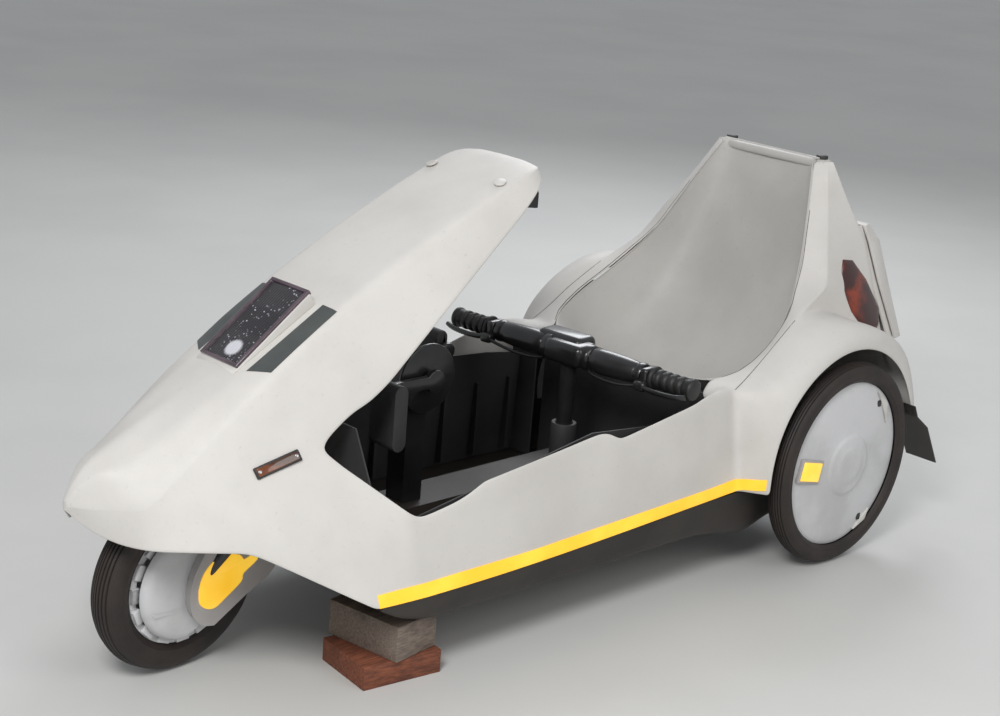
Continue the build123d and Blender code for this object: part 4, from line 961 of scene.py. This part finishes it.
def about(centre, turn):
    """A matrix's turn about a place."""
    return Matrix.Translation(centre) @ turn @ Matrix.Translation(-centre)


def flat_face(spots):
    """One face with these corners."""
    clear()
    bpy.ops.mesh.primitive_circle_add(vertices=len(spots), fill_type="NGON")
    piece = bpy.context.object
    for vertex, spot in zip(piece.data.vertices, spots):
        vertex.co = spot
    return piece


def plate(outline, low_y, high_y, width, softness=1):
    """A slab with this outline in side view. Softness above 1 bends the outline through its points."""
    spots = [at(x, low_y, z) for x, z in outline + outline[:1]]
    piece = flat_face((curved if softness > 1 else straight)(spots, [softness] * len(outline))[:-1])
    rise = (0, (high_y - low_y) * MM, 0)
    edit(piece, lambda: bpy.ops.mesh.extrude_region_move(TRANSFORM_OT_translate={"value": rise}), outward)
    soften(piece, width)
    return piece


def square_plate(border, low_y, high_y):
    """A rounded plate over the reflector's place, this much larger all round."""
    long, high = REFLECTOR_HALF + border, REFLECTOR_RISE + border
    low_corner = (REFLECTOR_X - long, low_y, REFLECTOR_Z - high)
    piece = rounded_block(low_corner, (REFLECTOR_X + long, high_y, REFLECTOR_Z + high), 1.5)
    piece.data.transform(about(at(REFLECTOR_X, 0, REFLECTOR_Z), Matrix.Rotation(REFLECTOR_TILT, 4, "Y")))
    return piece


def painted(piece, material):
    """Give a part its material before it is joined to others."""
    piece.data.materials.append(material)
    return piece


def wheel_cover():
    """The turned cover, with a gasket round the reflector's place and its vents."""
    parts = [painted(square_plate(BEZEL, 358, 365.3), COVER_GREY)]
    for (x, z), corners in VENTS:
        # No hole is cut: a black block stands in the vent as its painted shade.
        vent_shade_block = rounded_block((x - 6, VENT_Y - 2, z - 7), (x + 6, VENT_Y + 0.8, z + 7), 2.5)
        facet = plate(corners, VENT_Y - 4, VENT_Y + 3.2, 0.8)
        parts += [painted(vent_shade_block, PLUG_BLACK), painted(facet, WHITE_PLUG)]
    return join(parts + [painted(turned(COVER_OUTLINE, (0, WHEEL_Y, AXLE_Z)), COVER_WHITE)])


on_rear_wheels(wheel_cover(), "wheel_cover", None, "rear_wheel")
reflector = square_plate(0, 360, 367.5)
on_rear_wheels(reflector, "square_reflector", REFLECTOR_YELLOW, "wheel_reflector")

# %% [markdown]
# ## The front wheel and its fork
# The front wheel is small and fat. Its cast rim has square teeth round both edges, which show beyond the
# round spat. Everything here is made straight and then steered about the leaning head, as the parked car
# has it.

# %% Front wheel
# Lean of the head axis, how far behind the hub it passes, and the parked turn
HEAD_RAKE, HEAD_OFFSET, STEER = radians(30), 21, radians(5.4)
HEAD_UP = Vector((-sin(HEAD_RAKE), 0, cos(HEAD_RAKE)))
HEAD_FOOT = at(HUB_X, 0, HUB_Z) - Vector((cos(HEAD_RAKE), 0, sin(HEAD_RAKE))) * HEAD_OFFSET * MM
RIM_OUTLINE = [
    (6.5, 26), (24, 26), (24, 7), (28, 6), (88, 6), (92, 8), (95, 18), (97, 20), (108.5, 20),
    (108.5, -20), (97, -20), (95, -18), (92, -8), (88, -6), (28, -6), (24, -7), (24, -26), (6.5, -26),
    (6.5, 26),
]
TOOTH_COUNT = 16
TOOTH_LOW, TOOTH_HIGH, TOOTH_HALF = 93, 107, 13


def steered(piece):
    """Turn a piece of the straight fork about the head axis."""
    piece.data.transform(about(HEAD_FOOT, Matrix.Rotation(STEER, 4, HEAD_UP)))
    return piece


def rim_teeth(out_y):
    """Square teeth on one side of the rim: one block, copied about the axle."""
    low_corner = (HUB_X + TOOTH_LOW, out_y - 5, HUB_Z - TOOTH_HALF)
    tooth = rounded_block(low_corner, (HUB_X + TOOTH_HIGH, out_y + 4, HUB_Z + TOOTH_HALF), 1.5, 2)
    settings = {"steps": TOOTH_COUNT, "angle": 2 * pi, "center": at(HUB_X, 0, HUB_Z), "axis": (0, 1, 0)}
    edit(tooth, lambda: bpy.ops.mesh.spin(dupli=True, **settings), merge())
    return tooth


front_tyre = steered(tyre(*FRONT_TYRE, (HUB_X, 0, HUB_Z)))
done(front_tyre, "tyre_front", "front_wheel", FRONT_TYRE_RUBBER, ["front_tyre"])
rim = join([rim_teeth(22), rim_teeth(-21), turned(RIM_OUTLINE, (HUB_X, 0, HUB_Z))])
done(steered(rim), "rim_front", "front_wheel", COVER_WHITE, ["front_rim"])

# %% [markdown]
# ## The fork covers
# A round spat guards the wheel on each side, and a long drop of grey plastic covers the fork's leg, with a
# yellow reflector let into it. The spat is turned and then cut off along the drop's rear edge. The drop and
# the reflector are plates whose outlines are bent through their points.

# %% Fork covers
# Columns: radius, y from the middle of the wheel
SPAT_OUTLINE = [(0.5, 47), (60, 46.5), (82, 45), (91, 42), (96, 37), (98, 31.5), (97, 30), (0.5, 30)]
# Side views of the covers, as x and z before the fork is steered
DROP = [
    (1273, 88), (1294, 94), (1313, 111), (1322, 135), (1323, 157), (1319, 181), (1308, 203),
    (1286, 239), (1250, 297), (1190, 297), (1160, 222), (1152, 157), (1212, 123),
]
GLOW = [
    (1310, 158), (1307, 135), (1292, 121), (1274, 118), (1254, 129), (1222, 150), (1218, 164),
    (1190, 181), (1198, 193), (1218, 188), (1229, 199), (1264, 210), (1292, 195), (1305, 178),
]
# A raised fold across the spat, then the cut's place and the way it faces
FOLD = [(1384, 128.5), (1318, 124), (1318, 120.5), (1383, 124.5)]
REAR_CUT = ((1276, 0, 91), (-0.495, 0, -0.869))


def spat():
    """A round guard over the wheel, cut straight at the back along the drop's edge."""
    disc = turned(SPAT_OUTLINE, (HUB_X, 0, HUB_Z))
    spot, way = REAR_CUT
    edit(disc, lambda: bpy.ops.mesh.bisect(plane_co=at(*spot), plane_no=way, clear_outer=True, use_fill=True))
    return disc


shell = painted(spat(), COVER_WHITE)
ridge = painted(plate(FOLD, 40, 47.2, 1.0), COVER_WHITE)
drop = painted(plate(DROP, 36, 63, 2.5, 3), COVER_GREY)
glow = plate(GLOW, 60, 65, 1.2, 3)
shells = join([ridge, drop, shell])
other_shells = mirror_copy(shells)
done(steered(shells), "fork_shell_left", "front_fork", None, ["fork_cover_left"])
done(steered(other_shells), "fork_shell_right", "front_fork", None, ["fork_cover_right"])
done(steered(pair(glow)), "fork_reflectors", "front_fork", REFLECTOR_YELLOW,
     ["cover_reflectors"])

# %% [markdown]
# ## Things that lie on the moulding
# The reflective strip and the grey badges are films stuck to the plastic, and thin dark strips of painted
# shade lie in two creases beside the seat. Each is laid out flat, snapped to the moulding's rounded surface
# with a shrinkwrap, and then given its own thin edge.

# %% Films


def stuck_on(piece, lift, thickness):
    """Snap a sheet to the body's outer surface, a little above it, and thicken it."""
    apply_modifier(
        piece, "SHRINKWRAP", target=body, wrap_method="NEAREST_SURFACEPOINT", wrap_mode="OUTSIDE_SURFACE",
        offset=lift * MM,
    )
    apply_modifier(piece, "SOLIDIFY", thickness=thickness * MM, offset=0)
    edit(piece, outward)


STRIP_XS = [1126, 1085, 1028, 960, 900, 840, 780, 720, 660, 612, 560, 500, 450, 400, 360, 320, 290, 268]
# Height of the strip's edges above the seam
STRIP_LOW, STRIP_HIGH = 1, 25
# How the strip goes round the corner and over to the lip of the arch. Columns: x, y, lower edge z
STRIP_TAIL = [(257, 303, 184), (250, 318, 187), (241, 335, 190), (233, 350, 193)]


def strip_row(lift):
    """A line along the strip, this far above the seam."""
    row = []
    for x in STRIP_XS:
        z = seam_height(x) + lift
        row.append(sill_point(x, z) if x < SEAM_FRONT[0][0] else at(x, 299, z))
    return row + [at(x, y, z + lift * 0.9) for x, y, z in STRIP_TAIL]


strip = patch([strip_row(STRIP_LOW + (STRIP_HIGH - STRIP_LOW) * i / 3) for i in range(4)])
apply_modifier(strip, "SUBSURF", levels=1, render_levels=1, subdivision_type="SIMPLE")
stuck_on(strip, 0.9, 1.0)
done(pair(strip), "reflective_strips", "root", TAPE_YELLOW, ["seam_strips"])

# Half width of a crease, and how far the inner one lies from the seat's rim
CREASE_LEAN, RIM_ASIDE = Vector((0, 0.8, 0)) * MM, Vector((-1, 3, 1)) * MM
# Thin dark strips laid along the creases are painted shade.
creases = []
for line, aside in ((crest_line[:ARCH_TOP + 1], Vector()), (rim_line[:-4], RIM_ASIDE)):
    crease_line = patch([[spot + aside + lean for spot in line] for lean in (-CREASE_LEAN, CREASE_LEAN)])
    stuck_on(crease_line, 0.1, 0.3)
    creases += [mirror_copy(crease_line), crease_line]
done(join(creases), "moulding_creases", "root", PAINTED_CREASE_SHADE)

# A badge's corners beside the lamp. Columns: x, y, z
BADGE = [(1081, 101, 596), (1207, 101, 514), (1228, 65, 510), (1088, 66, 607)]
badges = []
for way in (1, -1):
    a, b, c, d = [at(x, way * y, z) for x, y, z in BADGE]
    badge = patch([[a.lerp(b, i / 12).lerp(d.lerp(c, i / 12), k / 4) for i in range(13)] for k in range(5)])
    stuck_on(badge, 0.5, 0.5)
    badges.append(badge)
done(join(badges), "blank_badges", "root", DECAL_GREY)

# %% [markdown]
# ## The headlamp
# The lamp lies on the nose like a small window: white sides that belong to the body, a dark frame with a
# rolled edge, and a fluted glass. The mirror behind it only shows as sparks and one round glint, painted
# into the glass's colour as painted reflections and a painted highlight. The lamp is made flat at the origin,
# where it is easy to inset and extrude, and then laid on the slope by one matrix.

# %% Headlamp
LAMP_FRONT, LAMP_REAR = at(1235, 0, 512), at(1097, 0, 617)
LAMP_HALF_WIDTH = 49
LAMP_LENGTH = (LAMP_REAR - LAMP_FRONT).length / MM
FRAME_HEIGHT, FRAME_WIDTH, FRAME_DEPTH = 9, 6.5, 5
# Ribs across the glass and along it, their height, and the part of the length where only the first show
GLASS_FLUTES, CROSS_FLUTES, FLUTE_HEIGHT, CLEAR_ZONE = 15, 9, 1.1, (0.36, 0.68)


def on_slope(piece, lift):
    """Lay a flat piece on the lamp's slope: its x along the nose and its z out of it."""
    along = (LAMP_REAR - LAMP_FRONT).normalized()
    across = Vector((0, -1, 0))
    out = along.cross(across)
    turn = Matrix((along, across, out)).transposed().to_4x4()
    piece.data.transform(Matrix.Translation((LAMP_FRONT + LAMP_REAR) / 2 + out * lift * MM) @ turn)
    return piece


def lamp_frame():
    """A block whose top is inset and pushed down, with its edges rolled."""
    clear()
    bpy.ops.mesh.primitive_cube_add(size=1)
    piece = bpy.context.object
    size = Vector((LAMP_LENGTH + 2, 2 * LAMP_HALF_WIDTH, FRAME_HEIGHT)) * MM
    piece.data.transform(Matrix.Diagonal((*size, 1)))
    select_faces(piece, lambda polygon: polygon.normal.z > 0.9)
    bpy.ops.mesh.inset(thickness=FRAME_WIDTH * MM)
    bpy.ops.mesh.extrude_region_move(TRANSFORM_OT_translate={"value": (0, 0, -FRAME_DEPTH * MM)})
    bpy.ops.mesh.select_mode(type="VERT")
    bpy.ops.object.mode_set(mode="OBJECT")
    apply_modifier(piece, "BEVEL", width=1.8 * MM, segments=3)
    return piece


def lamp_glass():
    """A fluted plate: a grid whose corners rise and fall in rounded ribs."""
    clear()
    bpy.ops.mesh.primitive_grid_add(x_subdivisions=54, y_subdivisions=GLASS_FLUTES * 6, size=1)
    glass = bpy.context.object
    length, width = (LAMP_LENGTH - 14) * MM, (LAMP_HALF_WIDTH * 2 - 14) * MM
    for vertex in glass.data.vertices:
        across, along = vertex.co.y + 0.5, vertex.co.x + 0.5
        zone = 1.0 if CLEAR_ZONE[0] < along < CLEAR_ZONE[1] else 0.55
        rib = abs(sin(pi * GLASS_FLUTES * across)) * zone
        rib += 0.8 * abs(sin(pi * CROSS_FLUTES * along)) * (1 - zone)
        rise = rib * FLUTE_HEIGHT + 2 * (1 - (2 * across - 1) ** 2)
        vertex.co = Vector((vertex.co.x * length, vertex.co.y * width, rise * MM))
    return glass


# A painted highlight: the glass is white in a small disc round this spot, and its light sparks are painted
# reflections.
PAINTED_GLINT_SPOT = at(1212, 8, 530)
painted_glint_glass = Finish("fluted_glass_painted_glint", Metallic=0.6, Coat_Weight=1.0, Coat_Roughness=0.03)
spot = painted_glint_glass.place
from_painted_glint = spot.node("ShaderNodeVectorMath", {"operation": "DISTANCE"}, {0: spot, 1: PAINTED_GLINT_SPOT}, 1)
sparks = spot.node("ShaderNodeTexVoronoi", {}, {"Vector": spot, "Scale": 160.0})
painted_sparks = sparks.ramp(0.3, 0.12) * spot.noise(30.0, 2.0).ramp(0.45, 0.6)
dark_glass_and_painted_sparks = painted_sparks.mix(rgb(0.035, 0.032, 0.038), rgb(0.75, 0.74, 0.8))
painted_glint_glass.feed("Base Color", from_painted_glint.ramp(0.012, 0.019).mix(rgb(0.95, 0.94, 1.0), dark_glass_and_painted_sparks))
painted_glint_glass.feed("Roughness", painted_sparks * 0.15 + 0.1)
painted_glint_glass.relief(spot.noise(240.0, 2.0), 0.0002)
done(on_slope(lamp_frame(), -3.5), "headlamp_frame", "root", FRAME_PLUM, ["lamp_lens"])
done(on_slope(lamp_glass(), -3.4), "headlamp_glass", "root", painted_glint_glass.material)
done(soft_copy("lamp_housing", 2.5), "headlamp_sides", "root", SHELL_WHITE, ["lamp_housing"])

# %% [markdown]
# ## Markers, rear lamps and plugs
# The side markers are amber lenses screwed to the flank. The rear lamps are long red diamonds with a
# stepped edge. Two round plugs close the screw holes near the end of the blade.

# %% Lamps on the sides


def faced(piece, origin, along, out):
    """Lay a flat piece on a surface: its x along a direction and its z outwards."""
    z = out.normalized()
    x = (along - z * along.dot(z)).normalized()
    piece.data.transform(Matrix.Translation(origin) @ Matrix((x, z.cross(x), z)).transposed().to_4x4())
    return piece


def flat_block(length, height, low, high, width):
    """A rounded block about the origin, in its own flat frame."""
    half = length / 2
    return rounded_block((FRAME_X - half, -height / 2, low), (FRAME_X + half, height / 2, high), width)


def stud(x, low, high, radius):
    """A small round head at x in a flat frame: a cylinder with a rounded top."""
    clear()
    depth = (high - low) * MM
    bpy.ops.mesh.primitive_cylinder_add(vertices=20, radius=radius * MM, depth=depth, location=(0, 0, 0))
    piece = bpy.context.object
    piece.data.transform(Matrix.Translation((x * MM, 0, (low + high) / 2 * MM)))
    soften(piece, radius * 0.3)
    return piece


# The two ends of a marker on the flank
marker_front, marker_rear = flank_point(1273, 375), flank_point(1197, 396)
marker_out = (flank_point(1235, 400) - flank_point(1235, 370)).cross(marker_front - marker_rear)
marker_out *= 1 if marker_out.y > 0 else -1
marker_length = (marker_front - marker_rear).length / MM
SCREW_X = marker_length / 2 - 7
base = painted(flat_block(marker_length, 19, -3, 5, 2), PLUG_BLACK)
base = join([painted(stud(x, 4, 6.6, 3), BRIGHT_STEEL) for x in (-SCREW_X, SCREW_X)] + [base])
marker_lens = flat_block(marker_length - 6, 13.5, 3, 6.2, 1.5)
for piece in (base, marker_lens):
    faced(piece, (marker_front + marker_rear) / 2, marker_rear - marker_front, marker_out)
done(pair(base), "marker_bases", "root", None, ["side_markers"])
done(pair(marker_lens), "marker_lenses", "root", AMBER)

# Outline of the left rear lamp in side view, then the flank's half width at one spot and its slopes
REAR_LAMP = [
    (-95, 570), (-124, 566), (-158, 526), (-185, 470), (-178, 438), (-160, 422), (-134, 425), (-98, 471),
    (-81, 512), (-80, 545),
]
FLANK_X, FLANK_Y, FLANK_Z = 113, 253, 464
FLANK_SLOPE_X, FLANK_SLOPE_Z = -0.0298, -0.3377
LAMP_SUNK = 4


def rear_lamp():
    """A long lens: its outline is extruded outwards, then inset and raised twice."""
    spots = []
    for x, z in REAR_LAMP:
        flank_y = FLANK_Y + FLANK_SLOPE_X * (x - FLANK_X) + FLANK_SLOPE_Z * (z - FLANK_Z)
        spots.append(at(x, flank_y - LAMP_SUNK, z))
    piece = flat_face(spots)
    bpy.ops.object.mode_set(mode="EDIT")
    bpy.ops.mesh.select_all(action="SELECT")
    out = Vector((0.03, 1, 0.34)).normalized()
    bpy.ops.mesh.extrude_region_move(TRANSFORM_OT_translate={"value": out * 8 * MM})
    for inset, rise in ((2.5, 1.5), (9, 2.2)):
        bpy.ops.mesh.inset(thickness=inset * MM)
        bpy.ops.transform.translate(value=out * rise * MM)
    bpy.ops.object.mode_set(mode="OBJECT")
    edit(piece, outward)
    soften(piece, 1.5, 15)
    return piece


done(pair(rear_lamp()), "rear_lamp_lenses", "root", RED_LENS, ["rear_lamps"])

plugs = []
for way in (1, -1):
    plug = stud(0, -2, 2.4, 11)
    plugs.append(faced(plug, at(729, way * 87, 769.5), Vector((-1, 0, 0.4)), Vector((0.35, way * 0.15, 1))))
done(join(plugs), "blade_plugs", "root", WHITE_PLUG)

# %% [markdown]
# ## The handlebar
# The bar lies under the driver's knees: a steel tube in a thick moulded sleeve, a hump-backed housing in
# the middle, clamps with brake levers, and rubber grips with rings and an end flange.

# %% Handlebar
BAR_X, BAR_Z = 424, 400
BAR_CENTRE = (BAR_X, 0, BAR_Z)
# Outlines about the bar. Columns: radius, y
TUBE_OUTLINE = [(0.5, -284), (12, -284), (13, -283), (13, 283), (12, 284), (0.5, 284)]
SLEEVE_OUTLINE = [
    (13, 40), (23, 41), (25, 43), (25, 54), (23.5, 56), (20, 58), (22.5, 62), (24, 78), (24, 100),
    (23, 130), (20.5, 158), (19, 162), (21, 165), (21.5, 168), (21.5, 174), (20, 177), (13, 178),
]
GRIP_RING = [(15.5, 0), (18.6, 2), (19, 6), (18.2, 10), (15.5, 12)]
GRIP_OUTLINE = [(13, 196), (21, 196.5), (22.5, 198), (22.5, 202), (21, 204), (16, 205)]
GRIP_OUTLINE += [(radius, start + y) for start in (207, 223, 239, 255) for radius, y in GRIP_RING]
GRIP_OUTLINE += [(16.2, 271), (17.6, 273), (17.6, 279), (19.8, 281), (20.5, 284), (19.5, 288), (16.5, 290)]
GRIP_OUTLINE += [(0.5, 290.5)]
# The lever. Columns: ahead of the bar, distance from the middle, below the bar
LEVER_PATH = [(12, 182, 8), (28, 190, 12), (34, 210, 14), (35, 245, 14), (33, 275, 12), (28, 288, 9)]
LEVER_RADIUS, CLAMP_Y = 5.0, (178, 195)
# A brake cable, in the same columns
CABLE_PATH = [(30, 178, 14), (24, 150, 23), (18, 105, 28), (12, 62, 26), (6, 46, 18)]
CABLE_RADIUS = 3


def parked_bar(piece):
    """Turn a piece of the straight bar about its post."""
    piece.data.transform(about(at(BAR_X, 0, 0), Matrix.Rotation(STEER, 4, "Z")))
    return piece


def rod_along(spots, radius):
    """A round bar through points: a smooth curve with a bevel, made a mesh."""
    line = bpy.data.curves.new("rod", "CURVE")
    line.dimensions = "3D"
    line.bevel_depth = radius * MM
    line.bevel_resolution = 4
    line.use_fill_caps = True
    spline = line.splines.new("NURBS")
    spline.points.add(len(spots) - 1)
    for point, spot in zip(spline.points, spots):
        point.co = (*spot, 1)
    spline.order_u = 3
    spline.use_endpoint_u = True
    item = bpy.data.objects.new("rod", line)
    bpy.context.scene.collection.objects.link(item)
    pick(item)
    bpy.ops.object.convert(target="MESH")
    return bpy.context.object


bar = turned(TUBE_OUTLINE, BAR_CENTRE, 32)
sleeve = turned(SLEEVE_OUTLINE, BAR_CENTRE, 40)
housing = rounded_block((BAR_X - 33, -45, BAR_Z - 21), (BAR_X + 30, 45, BAR_Z + 22), 13, 4)
hump = rounded_block((BAR_X - 52, -84, BAR_Z - 14), (BAR_X + 8, 26, BAR_Z + 30), 15, 4)
post = rod_along([at(BAR_X, 0, z) for z in (196, 290, 402)], 16)
parts = [sleeve, mirror_copy(sleeve), housing, hump, post, bar]
done(parked_bar(join(parts)), "steering_bar", "handlebar_set", BLACK_METAL, ["handlebar"], 40)

grip = turned(GRIP_OUTLINE, BAR_CENTRE, 36)
done(parked_bar(pair(grip)), "ringed_grips", "handlebar_set", GRIP_RUBBER, ["grips"], 45)



def by_the_bar(path, way):
    """Places along a path beside the bar, on one side."""
    return [at(BAR_X + ahead, way * out, BAR_Z - below) for ahead, out, below in path]


lever_parts = []
for way in (1, -1):
    lever_parts.append(rod_along(by_the_bar(LEVER_PATH, way), LEVER_RADIUS))
    low_y, high_y = sorted(way * y for y in CLAMP_Y)
    clamp_low, clamp_high = (BAR_X - 18, low_y, BAR_Z - 20), (BAR_X + 22, high_y, BAR_Z + 18)
    pivot_low, pivot_high = (BAR_X + 14, low_y - 3, BAR_Z - 22), (BAR_X + 36, high_y + 5, BAR_Z - 4)
    lever_parts += [rounded_block(clamp_low, clamp_high, 6), rounded_block(pivot_low, pivot_high, 5)]
cables = [rod_along(by_the_bar(CABLE_PATH, way), CABLE_RADIUS) for way in (1, -1)]
done(parked_bar(join(cables + lever_parts)), "brake_lever_pair", "handlebar_set", BLACK_METAL,
     ["brake_levers"], 40)

# %% [markdown]
# ## Seat top, knee panels and boot lip
# A roll closes the top of the seat between two rubber plugs. Behind each sill, where the seat begins, a
# panel closes the gap to the floor. The boot lid shuts on a thin lip that stands on the rear wall at both
# sides. All of them are flat or straight pieces, so blocks and strips are enough.

# %% Seat top, knee panels and boot lip
roll = rounded_block((-146, -137, 732), (-116, 137, 750), 7, 4)
done(roll, "seat_top", "root", SEAT_GREY, ["seat_cap"], 60)
cap_plugs = []
for way in (1, -1):
    plug = stud(0, -6, 6, 12)
    plug.data.transform(Matrix.Translation(at(-136, way * 116, 752)))
    cap_plugs.append(plug)
done(join(cap_plugs), "seat_top_plugs", "root", PLUG_BLACK, ["seat_plugs"])
knee_panels = [rounded_block((300, low, 104), (304, low + 70, 364), 1.5) for low in (203, -273)]
done(join(knee_panels), "knee_panels", "root", CHARCOAL)

# Columns: z, lid front x, lid half width
SEAL = [(414, -205, 291), (520, -193, 245), (595, -186, 215), (626, -182, 202)]
LIP_INSET = 5
lips = []
for way in (1, -1):
    front = [at(between(COWL, z, 3) + 6, way * (half - LIP_INSET), z) for z, x, half in SEAL]
    rear = [at(x - 3, way * (half - LIP_INSET), z) for z, x, half in SEAL]
    lip = patch([front, rear])
    apply_modifier(lip, "SOLIDIFY", thickness=4 * MM, offset=0)
    edit(lip, outward)
    lips.append(lip)
done(join(lips), "boot_seal", "root", SHELL_WHITE)

# %% [markdown]
# ## Pieces that only need their edges softened
# Folded, cast and moulded parts never have knife edges. A bevel on a copy of the CAD piece is enough for
# the ones that are simple in real life too.

# %% Softened pieces
# Columns: CAD node, body, slot, material, edge width
SOFTENED = [
    ("boot_lid", "rear_lid", "shell", SHELL_WHITE, 4.0),
    ("indicator_pod", "root", "charcoal_plastic", CHARCOAL, 4.0),
    ("mudflaps", "root", "charcoal_plastic", TRAY_BLACK, 0.8),
    ("lid_hinges", "root", "black_metal", BLACK_METAL, 0.8),
    ("crank", "crank_set", "black_metal", BLACK_METAL, 1.5),
    ("pedal_left", "left_pedal", "charcoal_plastic", CHARCOAL, 3.0),
    ("pedal_right", "right_pedal", "charcoal_plastic", CHARCOAL, 3.0),
    ("bar_socket", "root", "charcoal_plastic", CHARCOAL, 1.5),
    ("battery", "root", "battery_case", BATTERY_BLACK, 4.0),
    ("drive_unit", "root", "drive_metal", DRIVE_METAL, 3.0),
    ("prop_lower", "root", "timber", RED_TIMBER, 1.6),
    ("prop_upper", "root", "timber", GREY_TIMBER, 1.6),
]
for node, rides_on, slot_name, material, width in SOFTENED:
    done(soft_copy(node, width), "soft_" + node, rides_on, material, [node])

# %% [markdown]
# ## Finish of the carried-over CAD pieces
# The floor, the liners and the metal parts under them are flat or straight in real life too, and mostly in
# the dark. Their CAD pieces stay on show as they are, and each gets the finish of its kind, save the floor
# tunnel, whose black is painted shade for the dark hollow it lies in.

# %% Carried-over pieces
# The floor tunnel's black is painted shade: it matches the dark of the hollow round it.
CAD_FINISH = {
    "floor_tunnel": TRAY_BLACK, "foot_bulkhead": CHARCOAL, "seat_riser": CHARCOAL,
    "side_liner_left": CHARCOAL, "side_liner_right": CHARCOAL, "chassis": BLACK_METAL,
    "rear_axle": BRIGHT_STEEL, "crank_post": BLACK_METAL, "steering_fork": BLACK_METAL,
}
for name, material in CAD_FINISH.items():
    nodes[name].data.materials.clear()
    nodes[name].data.materials.append(material)
    smooth(nodes[name], 30)
print(len(CAD_FINISH), "CAD pieces finished")

# %% [markdown]
# ## Room, light and floor
# A plain pale floor and large soft lights show the shapes without staging a place. The key light stands
# near the camera, where the light in the photograph came from.

# %% Room and light


def soft_light(name, place, target, size, power, tint=(1, 1, 1)):
    """A round lamp that faces a target."""
    clear()
    bpy.ops.object.light_add(type="AREA", location=place)
    light = bpy.context.object
    light.name = name
    light.data.shape = "DISK"
    light.data.size = size
    light.data.energy = power
    light.data.color = tint
    light.rotation_euler = (Vector(target) - Vector(place)).to_track_quat("-Z", "Y").to_euler()
    return light


soft_light("key_light", (2.6, 1.6, 2.8), (0, 0, 0.35), 1.2, 88)
soft_light("fill_light", (-0.4, 3.4, 2.2), (0, 0, 0.4), 2.4, 30, (1, 0.98, 0.95))
soft_light("back_light", (-2.6, -1.8, 2.6), (0, 0, 0.5), 2.0, 55, (0.95, 0.97, 1))
world = bpy.data.worlds.new("studio")
world.use_nodes = True
sky = world.node_tree.nodes["Background"].inputs
sky["Color"].default_value = rgb(0.8, 0.82, 0.85)
sky["Strength"].default_value = 0.52
bpy.context.scene.world = world
bpy.context.scene.view_settings.view_transform = "Standard"

clear()
bpy.ops.mesh.primitive_plane_add(size=40, location=(0, 0, 0))
floor = bpy.context.object
floor.name = "studio_floor"
floor.data.materials.append(
    worn("studio_floor", rgb(0.62, 0.62, 0.6), rgb(0.58, 0.58, 0.565), 1.2, 0.03, (0.5, 0.6), 60.0, 0.0002)
)
